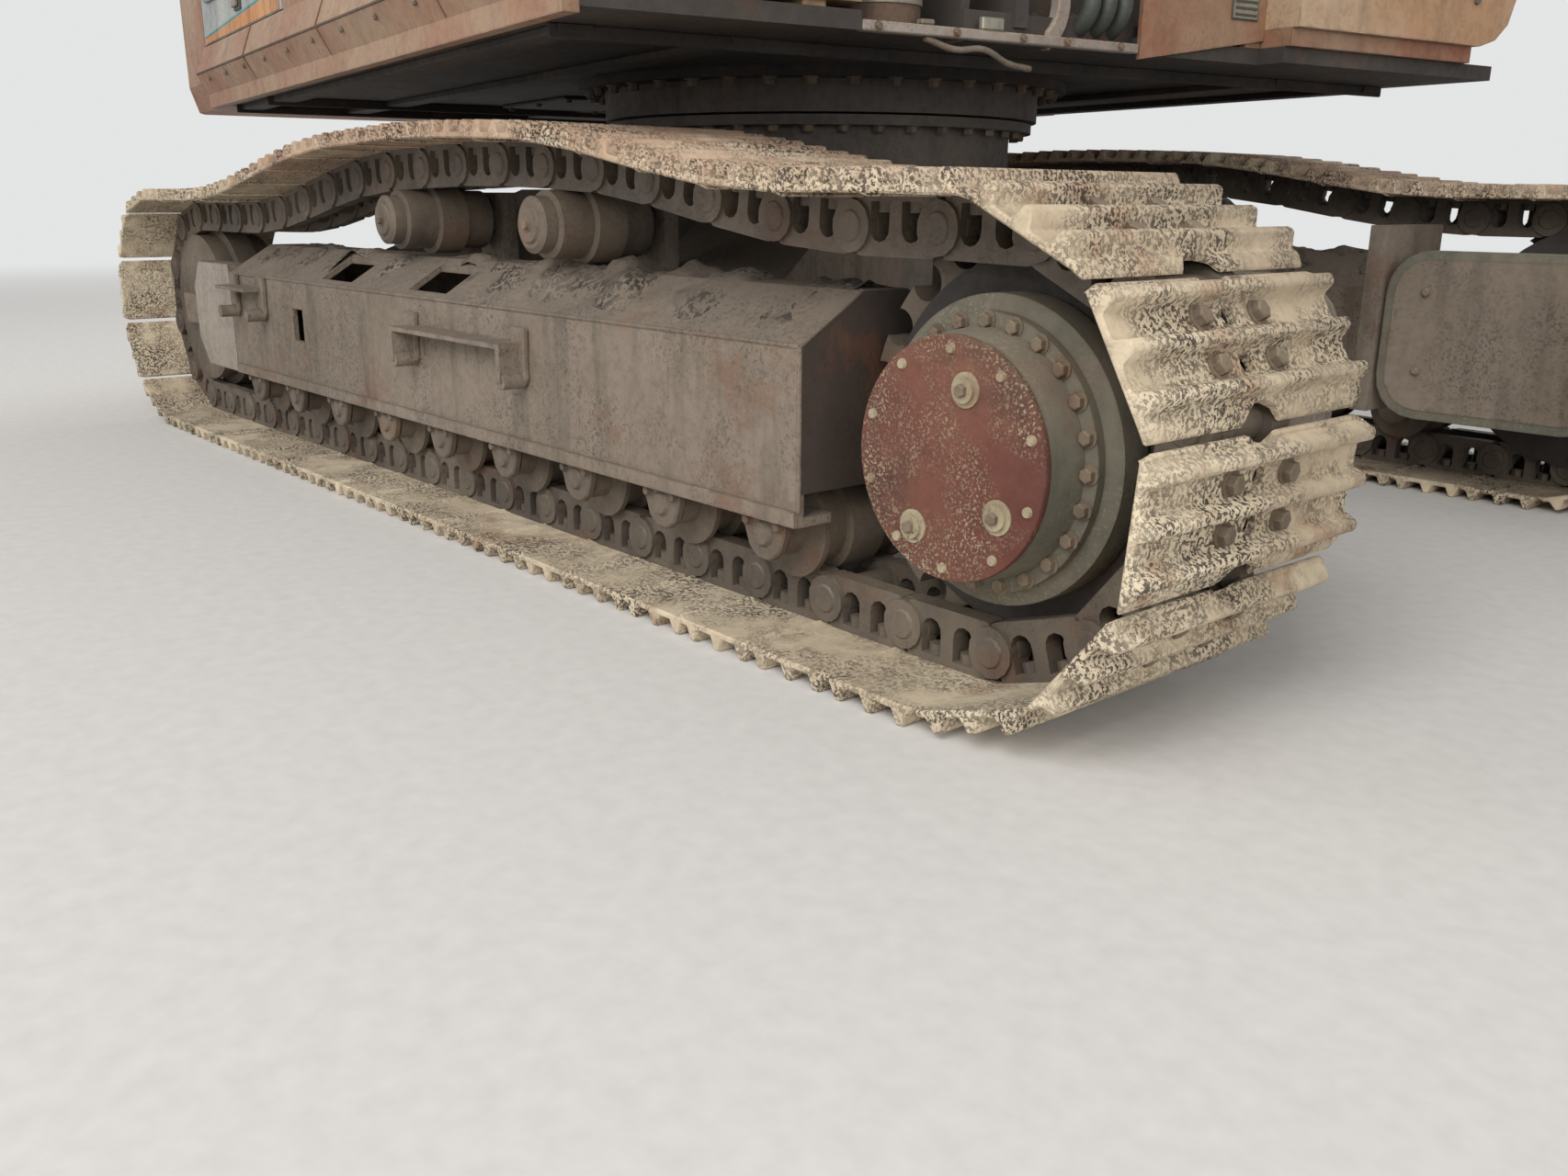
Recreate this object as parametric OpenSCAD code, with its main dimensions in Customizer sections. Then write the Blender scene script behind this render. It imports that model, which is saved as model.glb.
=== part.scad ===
// Crawler excavator of the 34 tonne class, parked with its bucket flat on the ground.
// +X is the front of the upper structure, +Y its left, +Z up.
// The origin lies on the ground under the slewing axis.

/* [Tracks] */
// Distance between the centre lines of the two tracks
gauge = 2600; // [2400:10:2900]
// Distance from the idler's axis to the sprocket's axis
wheelbase = 4050; // [3800:10:4300]
// Width of a track shoe
shoe_w = 600; // [500:50:700]
// Number of links in each track
link_count = 48; // [46:1:50]
// Radius of the pin line round the sprocket
drive_pitch_r = 359.7; // [350:0.1:380]
// Radius of the pin line round the idler
idler_pitch_r = 345; // [330:1:360]
// Height from the pin line to the running face of a link
rail_in = 52; // [45:1:56]
// Height from the pin line to the seat of a shoe
rail_out = 57; // [50:1:65]
// Thickness of a link's rail
rail_t = 52; // [40:1:56]
// Clear width between the two rails of a track
rail_gap = 104; // [96:2:116]
// Thickness of a shoe's plate
shoe_t = 13; // [10:1:16]
// Height of a grouser bar above its plate
grouser_h = 28; // [20:1:36]
// Height of the pin line over the carrier rollers
carrier_pin_z = 934; // [900:2:960]
// How far the tracks are turned to the left of the upper structure
stance_yaw = 8; // [-180:1:180]

/* [Track frames] */
// Length of a frame's box
frame_len = 3010; // [2700:10:3200]
// Distance from the sprocket's axis back to the frame's box
frame_setback = 390; // [350:10:450]
// Half width of a frame's box
frame_half = 215; // [200:5:240]
// Height of a frame's lower lip
frame_lip_z = 266; // [250:1:280]
// Height of a frame's outer top edge
frame_edge_z = 606; // [560:2:640]
// Height of a frame's flat top
frame_top_z = 700; // [670:2:715]
// Thickness of a frame's plates
frame_t = 15; // [10:1:20]
// Number of bottom rollers on each side
roller_count = 9; // [7:1:10]
// Radius of a bottom roller's tread
roller_r = 80; // [70:1:90]
// Radius of a carrier roller's drum
carrier_r = 80; // [65:1:90]

/* [Centre frame and slewing ring] */
// Radius of the drum under the slewing ring
drum_r = 620; // [560:5:660]
// Height of the drum's top
drum_top_z = 1068; // [1040:1:1080]
// Radius of the slewing ring's outer race
ring_r = 706; // [680:2:740]
// Height of the underside of the deck
deck_z = 1215; // [1205:1:1240]

/* [Upper structure] */
// Half width of the upper structure at the doors
house_half = 1495; // [1450:5:1540]
// How far the side skirts stand out from the doors
skirt_out = 45; // [35:2:70]
// Distance from the slewing axis to the front of the right hand box
front_x = 1350; // [1330:5:1400]
// Distance from the slewing axis back to the counterweight
rear_x = -2200; // [-2250:5:-2100]
// Radius of the counterweight's rear face about the slewing axis
tail_r = 3350; // [3250:10:3450]
// Height of the counterweight's top
tail_top_z = 2140; // [2000:10:2200]
// Thickness of the body panels
panel_t = 40; // [30:2:50]
// Height of the engine bay's walls
bay_top_z = 2140; // [2050:10:2200]

/* [Cab] */
// Height of the cab's roof
cab_top_z = 3145; // [3050:5:3200]
// Width of the cab
cab_w = 970; // [930:5:980]
// Thickness of the cab's walls
cab_t = 50; // [40:2:60]

/* [Boom] */
// Distance from the boom's foot to its tip pin
boom_len = 6500; // [6300:50:6700]
// Distance of the boom's foot from the slewing axis
foot_x = 200; // [150:10:300]
// Height of the boom's foot pin
foot_z = 2000; // [1960:10:2050]
// Width of the boom's box
boom_w = 480; // [420:10:500]
// Distance of the boom cylinders' foot pin from the slewing axis
lift_x = 1230; // [1200:5:1260]
// Height of the boom cylinders' foot pin
lift_z = 1560; // [1540:5:1600]
// Distance of each boom cylinder from the centre plane
lift_y = 400; // [390:5:410]

/* [Arm and bucket] */
// Distance from the arm's pivot to the bucket pin
arm_len = 3200; // [3000:50:3400]
// Direction of the arm below the horizontal when parked
arm_drop = 110; // [100:1:120]
// Width of the arm's box
arm_w = 330; // [300:10:350]
// Height of the bucket pin above the ground when parked
bucket_pin_z = 998; // [990:1:1020]
// Distance from the bucket pin to the link pin
bucket_pin_gap = 450; // [420:5:480]
// Direction of the link pin from the bucket pin, from the arm's own line
bucket_turn = 70; // [66:1:74]
// Width of the bucket
bucket_w = 1300; // [1100:50:1500]
// Thickness of the bucket's plates
bucket_t = 25; // [16:1:35]
// Length of the rocker from its pivot to its top pin
rocker_len = 620; // [600:5:640]
// Length of the push link
push_len = 600; // [580:5:620]

/* [Cylinders] */
// Radius of a cylinder's barrel
barrel_r = 85; // [80:1:95]
// Radius of a cylinder's rod
rod_r = 50; // [45:1:55]
// Radius of a cylinder's eye
eye_r = 95; // [90:1:105]
// Radius of the joint pins
pin_r = 50; // [45:1:55]

/* [Hidden] */
// Running clearance round a pin, and the seat gap between faces that move on each other
fit = 0.1;
seat = 0.3;
side_gap = 5;
$fn = 64;

// Heights and places that follow from the sizes above
half_base = wheelbase / 2;
plate_h = rail_out + shoe_t;
tip_h = plate_h + grouser_h;
pin_low_z = tip_h;
drive_z = pin_low_z + drive_pitch_r;
idler_z = pin_low_z + idler_pitch_r;
rail_mid = (rail_gap + rail_t) / 2;
rail_far = rail_gap / 2 + rail_t;
frame_front = half_base - frame_setback;
frame_rear = frame_front - frame_len;
carrier_x = [half_base - 1400, half_base - 2200];
carrier_z = carrier_pin_z - rail_in - carrier_r - seat;
roller_z = pin_low_z + rail_in + roller_r + seat;
roller_first = frame_front - 123;
roller_step = (frame_len - 246) / (roller_count - 1);

// Basic shapes: a box between two corners, a profile across the machine, a turned part
module block(x, y, z) {
    translate([x[0], y[0], z[0]]) cube([x[1] - x[0], y[1] - y[0], z[1] - z[0]]);
}
module across(y0, y1) {
    translate([0, y1, 0]) rotate([90, 0, 0]) linear_extrude(y1 - y0) children();
}
module along(x0, x1) {
    translate([x0, 0, 0]) rotate([90, 0, 90]) linear_extrude(x1 - x0) children();
}
module lying(x, z, r, y0, y1) {
    translate([x, y0, z]) rotate([-90, 0, 0]) cylinder(r = r, h = y1 - y0);
}
module turned(x, z) {
    translate([x, 0, z]) rotate([-90, 0, 0]) rotate_extrude() children();
}
function mirrored(p) = concat(p, [for (i = [len(p) - 1:-1:0]) [p[i][0], -p[i][1]]]);

// The right track stands at -Y and its local +Y points outwards
module on_right() {
    rotate([0, 0, stance_yaw]) translate([0, -gauge / 2, 0]) mirror([0, 1, 0]) children();
}
module on_left() {
    rotate([0, 0, stance_yaw]) translate([0, gauge / 2, 0]) children();
}
module on_both() {
    on_right() children();
    on_left() children();
}

// The pin line of a track: flat below, round the wheels, and over the carrier rollers
sag_start = 350;
sag_end = 3500;
crown = 10;
function clamp01(t) = min(1, max(0, t));
function ease(t) = (1 - cos(180 * clamp01(t))) / 2;
function top_z(u) =
    let (low_a = drive_z + drive_pitch_r, low_b = idler_z + idler_pitch_r)
    let (u1 = half_base - carrier_x[0], u2 = half_base - carrier_x[1])
    u < u1 ? low_a + (carrier_pin_z - low_a) * ease((u - sag_start) / (u1 - sag_start)) :
    u < u2 ? carrier_pin_z + crown * sin(180 * (u - u1) / (u2 - u1)) :
    carrier_pin_z + (low_b - carrier_pin_z) * ease((u - u2) / (sag_end - u2));
loop = concat(
    [for (a = [-90:6:90]) [half_base + drive_pitch_r * cos(a), drive_z + drive_pitch_r * sin(a)]],
    [for (u = [50:50:wheelbase - 50]) [half_base - u, top_z(u)]],
    [for (a = [90:6:270]) [-half_base + idler_pitch_r * cos(a), idler_z + idler_pitch_r * sin(a)]]
);
loop_n = len(loop);
run = [for (i = 0, s = 0; i <= loop_n; s = s + norm(loop[(i + 1) % loop_n] - loop[i % loop_n]),
    i = i + 1) s];
loop_len = run[loop_n];
function station(s) =
    let (k = [for (i = [0:loop_n - 1]) if (run[i] <= s && s < run[i + 1]) i][0])
    let (t = (s - run[k]) / (run[k + 1] - run[k]))
    loop[k] * (1 - t) + loop[(k + 1) % loop_n] * t;
pins = [for (i = [0:link_count - 1]) station(i * loop_len / link_count)];
link_pitch = norm(pins[1] - pins[0]);

// Offsets of the pin line: unit vectors along and out of each link, and its mitred corners
function unit(v) = v / norm(v);
function outward(t) = [t[1], -t[0]];
function link_dir(i) = unit(pins[(i + 1) % link_count] - pins[i % link_count]);
function corner(i, h) =
    let (a = outward(link_dir(i + link_count - 1)), b = outward(link_dir(i)))
    let (m = unit(a + b)) pins[i] + m * h / (m * b);
function offset_loop(h) = [for (i = [0:link_count - 1]) corner(i, h)];

// Cross-section of a triple grouser shoe: place along the link, height above the pin line
grouser_at = [0.14, 0.5, 0.86];
grouser_top = 16;
grouser_flare = 11;
function grouser_points(pitch) = [for (k = [0:2]) let (c = grouser_at[k] * pitch) each concat(
    k > 0 ? [[c - grouser_top / 2 - grouser_flare, plate_h]] : [],
    [[c - grouser_top / 2, tip_h], [c + grouser_top / 2, tip_h]],
    k < 2 ? [[c + grouser_top / 2 + grouser_flare, plate_h]] : [])];
function shoe_points(i) =
    let (t = link_dir(i), o = outward(t))
    let (pitch = norm(pins[(i + 1) % link_count] - pins[i]))
    concat([corner(i, plate_h)], [for (g = grouser_points(pitch)) pins[i] + t * g[0] + o * g[1]]);

module track() {
    across(-shoe_w / 2, shoe_w / 2) difference() {
        polygon([for (i = [0:link_count - 1]) each shoe_points(i)]);
        polygon(offset_loop(rail_out));
    }
    for (y = [-rail_far, rail_gap / 2]) across(y, y + rail_t) difference() {
        polygon(offset_loop(rail_out + 1));
        polygon(offset_loop(-rail_in));
    }
}

// Half profiles of the turned running gear: radius, place across the track
collar_y = frame_half - 43;
roller_profile = [[0, collar_y], [50, collar_y], [50, 128], [100, 122], [100, 109],
    [roller_r, 107], [roller_r, 48], [roller_r + 18, 44]];
idler_profile = [[0, 128], [75, 128], [75, 114], [idler_pitch_r - 90, 112],
    [idler_pitch_r - 70, 108], [idler_pitch_r - 70, 47], [idler_pitch_r - 42, 40]];
carrier_profile = [[40, -frame_half + 15], [40, -132], [carrier_r - 8, -130], [carrier_r, -122],
    [carrier_r, -46], [carrier_r + 14, -40], [carrier_r + 14, 40], [carrier_r, 46],
    [carrier_r, 130], [66, 136], [66, 168], [54, 176], [0, 176], [0, -frame_half + 15]];

module bottom_roller() {
    difference() {
        turned(0, roller_z) polygon(mirrored(roller_profile));
        for (s = [-1, 1]) block([-60, 60], [s * 150 - 22.5, s * 150 + 22.5],
            [frame_lip_z - seat, frame_lip_z + 60]);
    }
}
module bottom_rollers() {
    color("#4a4238") on_both() for (i = [0:roller_count - 1])
        translate([roller_first - i * roller_step, 0, 0]) bottom_roller();
}
module carrier_rollers() {
    color("#6b6353") on_both() for (x = carrier_x) turned(x, carrier_z) polygon(carrier_profile);
}
module idlers() {
    color("#4a4238") on_both() turned(-half_base, idler_z) polygon(mirrored(idler_profile));
}

// The sprocket has a tooth between every two bushings, and a half tooth space in between
tooth_count = 21;
bush_r = 34;
sprocket_t = 74;
hub_r = 210;
module sprocket() {
    across(-sprocket_t / 2, sprocket_t / 2) difference() {
        circle(r = drive_pitch_r + 18);
        circle(r = hub_r);
        for (k = [0:tooth_count - 1]) rotate(-90 + k * 360 / tooth_count)
            translate([drive_pitch_r, 0]) circle(r = bush_r);
    }
}
module sprockets() {
    color("#54483a") on_both() translate([half_base, 0, drive_z]) sprocket();
}
drive_face_y = 200;
drive_cover_r = 190;
module final_drives() {
    color("#5c5c50") on_both() turned(half_base, drive_z) polygon([
        [0, -frame_half + 85], [230, -frame_half + 85], [240, -110], [240, -sprocket_t / 2 - seat],
        [hub_r - seat, -sprocket_t / 2 - seat], [hub_r - seat, sprocket_t / 2 + seat],
        [250, sprocket_t / 2 + seat], [262, 60], [262, 120], [235, 132], [235, 150],
        [drive_cover_r + 6, 152], [drive_cover_r + 2, drive_face_y], [0, drive_face_y]]);
}
plug_at = [[-20, 100], [55, -75], [-105, -90]];
module drive_covers() {
    color("#6e3a2e") on_both() translate([half_base, 0, drive_z]) {
        lying(0, 0, drive_cover_r, drive_face_y + seat, drive_face_y + 16);
        for (p = plug_at) lying(p[0], p[1], 20, drive_face_y + 16, drive_face_y + 22);
    }
}

// A track frame: an open box with a sloping top, the sprocket's bracket and the idler's guard
module frame_section() {
    difference() {
        polygon([[-frame_half, frame_lip_z], [-frame_half, frame_edge_z], [-60, frame_top_z],
            [60, frame_top_z], [frame_half, frame_edge_z], [frame_half, frame_lip_z]]);
        polygon([[-130, frame_lip_z - 1], [-130, frame_lip_z + 20],
            [-frame_half + frame_t, frame_lip_z + 20],
            [-frame_half + frame_t, frame_edge_z - 8], [-56, frame_top_z - frame_t],
            [56, frame_top_z - frame_t], [frame_half - frame_t, frame_edge_z - 8],
            [frame_half - frame_t, frame_lip_z + 20], [130, frame_lip_z + 20],
            [130, frame_lip_z - 1]]);
    }
}
module end_section() {
    polygon([[-frame_half, 330], [-frame_half, frame_edge_z], [-60, frame_top_z],
        [60, frame_top_z], [frame_half, frame_edge_z], [frame_half, 330]]);
}
bracket_y = -frame_half + 85 - seat;
module track_frame() {
    difference() {
        along(frame_rear, frame_front) frame_section();
        block([frame_rear + 560, frame_rear + 640], [0, frame_half + 5], [420, 520]);
        for (x = [frame_rear + 760, frame_rear + 1360])
            block([x, x + 220], [90, 190], [500, frame_top_z]);
    }
    for (x = [frame_rear, frame_front - frame_t]) along(x, x + frame_t) end_section();
    // Bracket and motor guard at the sprocket
    difference() {
        union() {
            across(-frame_half, bracket_y) polygon([[frame_front - 60, 330],
                [frame_front - 60, frame_edge_z], [half_base, drive_z + 240],
                [half_base, drive_z - 180]]);
            lying(half_base, drive_z, 240, -frame_half, bracket_y);
            across(-frame_half - 330, -frame_half + 1) polygon([[half_base - 330, drive_z - 190],
                [half_base - 330, drive_z + 190], [half_base + 130, drive_z + 190],
                [half_base + 230, drive_z + 90], [half_base + 230, drive_z - 90],
                [half_base + 130, drive_z - 190]]);
        }
    }
    // Idler guard plates and the arms that carry the idler
    for (s = [-1, 1]) {
        across(min(s * frame_half, s * 150), max(s * frame_half, s * 150)) polygon([
            [frame_rear + 1, frame_lip_z], [frame_rear + 1, frame_edge_z + 30],
            [frame_rear - 310, frame_edge_z + 30], [frame_rear - 380, frame_edge_z - 60],
            [frame_rear - 380, 360], [frame_rear - 300, frame_lip_z]]);
        block([-half_base - 90, frame_rear - 100],
            [min(s * 128.3, s * 151), max(s * 128.3, s * 151)], [idler_z - 55, idler_z + 55]);
    }
    // Pedestals of the carrier rollers
    for (x = carrier_x) difference() {
        block([x - 70, x + 70], [-frame_half + 10, -frame_half + 55], [frame_edge_z - 20, carrier_z + 75]);
        lying(x, carrier_z, 40 + fit, -frame_half, -100);
    }
    // Steps on the outer face
    block([frame_rear + 60, frame_rear + 330], [frame_half - 1, frame_half + 70], [560, 572]);
    block([frame_rear + 1420, frame_rear + 2020], [frame_half - 1, frame_half + 70], [520, 532]);
    block([frame_rear + 1420, frame_rear + 1440], [frame_half - 1, frame_half + 70], [440, 521]);
    block([frame_rear + 2000, frame_rear + 2020], [frame_half - 1, frame_half + 70], [440, 521]);
}
module track_frame_right() {
    color("#7d6a55") on_right() track_frame();
}
module track_frame_left() {
    color("#7d6a55") on_left() track_frame();
}
module track_right() {
    color("#a8997b") on_right() track();
}
module track_left() {
    color("#a8997b") on_left() track();
}

// Centre frame: an eight sided box under a drum, and four legs with sloping tops
leg_y = gauge / 2 - frame_half - seat;
core_long = [700, 300];
core_wide = [300, 640];
core_z = [540, 890];
tow_x = 790;
tow_z = 600;
tow_t = 40;
tow_bore_r = 35;
module legs() {
    color("#4b4339") rotate([0, 0, stance_yaw]) for (s = [-1, 1]) for (e = [-1, 1]) intersection() {
        translate([0, 0, 400]) linear_extrude(500) polygon([[s * 1080, e * leg_y],
            [s * 560, e * leg_y], [s * (core_wide[0] + seat), e * (core_wide[1] + seat)],
            [s * (core_long[0] + seat), e * (core_long[1] + seat)]]);
        along(-1200, 1200) polygon([[-leg_y, 430], [-640, core_z[0]], [640, core_z[0]], [leg_y, 430],
            [leg_y, 680], [640, core_z[1]], [-640, core_z[1]], [-leg_y, 680]]);
    }
}
module car_body() {
    color("#4b4339") rotate([0, 0, stance_yaw]) {
        translate([0, 0, core_z[0]]) linear_extrude(core_z[1] - core_z[0]) polygon([
            core_long, core_wide, [-core_wide[0], core_wide[1]], [-core_long[0], core_long[1]],
            -core_long, -core_wide, [core_wide[0], -core_wide[1]], [core_long[0], -core_long[1]]]);
        translate([0, 0, core_z[1] - 30]) cylinder(r = drum_r, h = drum_top_z - core_z[1] + 30, $fn = 96);
        translate([0, 0, drum_top_z - 1]) cylinder(r = ring_r - 16, h = 28, $fn = 96);
        translate([0, 0, drum_top_z]) cylinder(r = race_in - fit, h = 112, $fn = 96);
        // Towing eyes at both ends: flat plates for a shackle pin that goes in from below
        for (s = [-1, 1]) translate([0, 0, tow_z]) difference() {
            linear_extrude(tow_t) polygon([[s * 690, 130], [s * 820, 90], [s * 870, 40],
                [s * 870, -40], [s * 820, -90], [s * 690, -130]]);
            translate([s * tow_x, 0, -1]) cylinder(r = tow_bore_r, h = tow_t + 2);
        }
    }
}
race_z = drum_top_z + 27 + side_gap + 1;
race_in = drum_r - 90;
module slew_bearing() {
    color("#3b362f") {
        translate([0, 0, race_z]) difference() {
            cylinder(r = ring_r, h = deck_z - 26 - seat - race_z, $fn = 96);
            translate([0, 0, -1]) cylinder(r = race_in, h = 200, $fn = 96);
        }
    }
}

// Deck: a floor plate with the boom's foot plates standing on it
deck_t = 40;
floor_z = deck_z + deck_t;
deck_half = house_half - 30;
foot_y = 300;
foot_t = 40;
notch_x = 1150;
lug_y = lift_y + 62;
module deck() {
    color("#3d3a36") {
        translate([0, 0, deck_z]) linear_extrude(deck_t) polygon([
            [rear_x, -deck_half], [front_x, -deck_half], [front_x, -805], [notch_x, -805],
            [notch_x, 48], [front_x - 12, 48], [front_x - 12, cab_in], [front_x + 70, cab_in],
            [front_x + 70, deck_half], [rear_x, deck_half]]);
        translate([0, 0, deck_z - 26]) cylinder(r = ring_r + 86, h = 27, $fn = 96);
        for (s = [-1, 1]) difference() {
            across(min(s * foot_y, s * (foot_y + foot_t)), max(s * foot_y, s * (foot_y + foot_t)))
                union() {
                    polygon([[rear_x + 20, floor_z - 1], [rear_x + 20, 1500], [-900, 1560],
                        [foot_x - 260, foot_z - 60], [foot_x - 120, foot_z + 130],
                        [foot_x + 120, foot_z + 130], [lift_x - 300, lift_z + 110],
                        [lift_x, lift_z + 90], [lift_x + 90, lift_z - 60],
                        [lift_x + 90, floor_z - 1]]);
                    translate([foot_x, foot_z]) circle(r = 175);
                    translate([lift_x, lift_z]) circle(r = 110);
                }
            lying(foot_x, foot_z, pin_r + fit, -500, 500);
            lying(lift_x, lift_z, pin_r + fit, -500, 500);
        }
        for (s = [-1, 1]) difference() {
            across(min(s * lug_y, s * (lug_y + 25)), max(s * lug_y, s * (lug_y + 25))) union() {
                polygon([[lift_x - 160, floor_z - 1], [lift_x - 110, lift_z],
                    [lift_x + 110, lift_z], [lift_x + 60, floor_z - 1]]);
                translate([lift_x, lift_z]) circle(r = 110);
            }
            lying(lift_x, lift_z, pin_r + fit, -500, 500);
        }
        // Cross plate under the lugs
        block([lift_x - 160, lift_x + 80], [-lug_y - 25, lug_y + 25], [deck_z, floor_z + 30]);
    }
}

// Side skirts with an upper facet, an under facet and a lower band
skirt_top_z = 1430;
module skirt_section() {
    polygon([[deck_half + seat, deck_z - 12], [house_half + 5, deck_z - 12],
        [house_half + 5, floor_z], [house_half + skirt_out, deck_z + 115],
        [house_half + 8, skirt_top_z], [house_half + seat, skirt_top_z],
        [house_half + seat, floor_z + 14], [deck_half + seat, floor_z]]);
}
module side_skirts() {
    color("#9a5a3a") {
        mirror([0, 1, 0]) along(rear_x, front_x) skirt_section();
        along(rear_x, cab_rear - 30) skirt_section();
    }
}

tail_half = house_half;
eye_x = -2750;
eye_y = 750;
eye_t = 40;
eye_bore_r = 30;
module counterweight() {
    color("#9c6a48") difference() {
        intersection() {
            translate([0, 0, deck_z]) cylinder(r = tail_r, h = tail_top_z - deck_z, $fn = 128);
            along(-tail_r, rear_x - seat) polygon([[-tail_half + 60, deck_z], [-tail_half, deck_z + 90],
                [-tail_half, tail_top_z - 80], [-tail_half + 60, tail_top_z],
                [tail_half - 60, tail_top_z], [tail_half, tail_top_z - 80],
                [tail_half, deck_z + 90], [tail_half - 60, deck_z]]);
            across(-tail_half, tail_half) polygon([[rear_x, deck_z], [rear_x, tail_top_z],
                [-tail_r + 180, tail_top_z], [-tail_r, tail_top_z - 160], [-tail_r, deck_z + 420],
                [-tail_r + 260, deck_z + 60], [-tail_r + 420, deck_z]]);
            translate([0, 0, deck_z]) linear_extrude(tail_top_z - deck_z) polygon([
                [rear_x, -tail_half], [-tail_r + 700, -tail_half], [-tail_r + 330, -tail_half + 130],
                [-tail_r + 40, -tail_half + 520], [-tail_r, 0], [-tail_r + 40, tail_half - 520],
                [-tail_r + 330, tail_half - 130], [-tail_r + 700, tail_half], [rear_x, tail_half]]);
        }
    }
    color("#9c6a48") for (z = door_hinge_z) bored_leaf(door_rear, side_axis_y, z, -40, -knuckle_out - 1);
    // Lifting eyes
    color("#9c6a48") for (s = [-1, 1]) difference() {
        across(s * eye_y - eye_t / 2, s * eye_y + eye_t / 2) union() {
            polygon([[eye_x - 90, tail_top_z - 1], [eye_x - 60, tail_top_z + 70],
                [eye_x + 60, tail_top_z + 70], [eye_x + 90, tail_top_z - 1]]);
            translate([eye_x, tail_top_z + 70]) circle(r = 60);
        }
        lying(eye_x, tail_top_z + 70, eye_bore_r, -tail_half, tail_half);
    }
}

// Hinges stand clear of the panels: a knuckle with its pin on the moving panel, and one
// with a bore on what carries it. The leaf reaches from the axis to the panel.
knuckle_r = 11;
knuckle_out = 16;
knuckle_h = 40;
hinge_pin_r = 7;
module knuckle(x, y, z, dx, dy) {
    translate([x, y, z]) {
        cylinder(r = knuckle_r, h = knuckle_h, $fn = 32);
        block([min(0, dx), max(0, dx)], [min(0, dy), max(0, dy)], [0, knuckle_h]);
    }
}
module pinned_leaf(x, y, z, dx, dy) {
    knuckle(x, y, z, dx, dy);
    translate([x, y, z]) cylinder(r = hinge_pin_r, h = 2 * knuckle_h, $fn = 32);
}
module bored_leaf(x, y, z, dx, dy) {
    difference() {
        knuckle(x, y, z + knuckle_h + 1, dx, dy);
        translate([x, y, z]) cylinder(r = hinge_pin_r + fit, h = 3 * knuckle_h, $fn = 32);
    }
}

// Engine bay: walls round the engine, with doorways on both sides and the top open
bay_front = -860;
door_z0 = skirt_top_z + 8;
door_z1 = bay_top_z - 40;
bay_half = house_half - panel_t - side_gap;
bay_rear = rear_x + 1;
module engine_bay() {
    color("#8f5a3c") difference() {
        block([bay_rear, bay_front], [-bay_half, bay_half], [floor_z + seat, bay_top_z]);
        block([bay_rear + panel_t, bay_front - panel_t], [-foot_y - foot_t - 460, foot_y + foot_t + 460],
            [floor_z - 1, bay_top_z + 1]);
        block([bay_rear + panel_t, bay_front - panel_t], [-bay_half - 1, bay_half + 1], [door_z0, door_z1]);
        for (s = [-1, 1]) block([bay_rear - 1, bay_front + 1],
            [s * (foot_y + foot_t / 2) - foot_t / 2 - side_gap, s * (foot_y + foot_t / 2) + foot_t / 2 + side_gap],
            [floor_z - 1, 1640]);
    }
    color("#8f5a3c") for (y = hood_hinge_y) hood_place(y) bored_leaf(0, 0, 0, -knuckle_r, knuckle_out + 1);
}
hood_hinge_y = [-540, 460];
module hood_place(y) {
    translate([bay_rear + 30 - knuckle_out, y, bay_top_z + knuckle_out]) rotate([-90, 0, 0]) children();
}
module engine() {
    color("#5a5a55") {
        block([rear_x + 180, bay_front - 140], [-290, 290], [floor_z + seat, 1900]);
    }
}
hood_half = foot_y + foot_t + 500;
module hood() {
    color("#8f5a3c") difference() {
        union() {
            along(bay_rear + 30, bay_front - side_gap) polygon([[-hood_half, bay_top_z + side_gap],
                [-hood_half, bay_top_z + 70], [-hood_half + 80, bay_top_z + 180],
                [hood_half - 80, bay_top_z + 180], [hood_half, bay_top_z + 70],
                [hood_half, bay_top_z + side_gap]]);
        }
        along(bay_rear + 60, bay_front - side_gap - 30) polygon([[-hood_half + 30, bay_top_z],
            [-hood_half + 30, bay_top_z + 60], [-hood_half + 95, bay_top_z + 152],
            [hood_half - 95, bay_top_z + 152], [hood_half - 30, bay_top_z + 60],
            [hood_half - 30, bay_top_z]]);
    }
    color("#8f5a3c") for (y = hood_hinge_y) hood_place(y) pinned_leaf(0, 0, 0, knuckle_out + 1, -knuckle_r);
}
door_front = bay_front - side_gap;
door_rear = rear_x + 10;
door_hinge_z = [1560, 1940];
side_axis_y = house_half + knuckle_out;
module side_door() {
    difference() {
        block([door_rear, door_front], [house_half - panel_t, house_half], [door_z0, door_z1]);
        block([door_rear + 60, door_front - 60], [house_half - panel_t - 1, house_half - 14],
            [door_z0 + 60, door_z1 - 60]);
    }
}
module pump_door() {
    color("#4b5054") {
        mirror([0, 1, 0]) side_door();
        for (z = door_hinge_z) pinned_leaf(door_front, -side_axis_y, z, -25, knuckle_out + 1);
    }
}
module cooler_door() {
    color("#4b5054") {
        side_door();
        for (z = door_hinge_z) pinned_leaf(door_rear, side_axis_y, z, 25, -knuckle_out - 1);
    }
}

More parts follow.
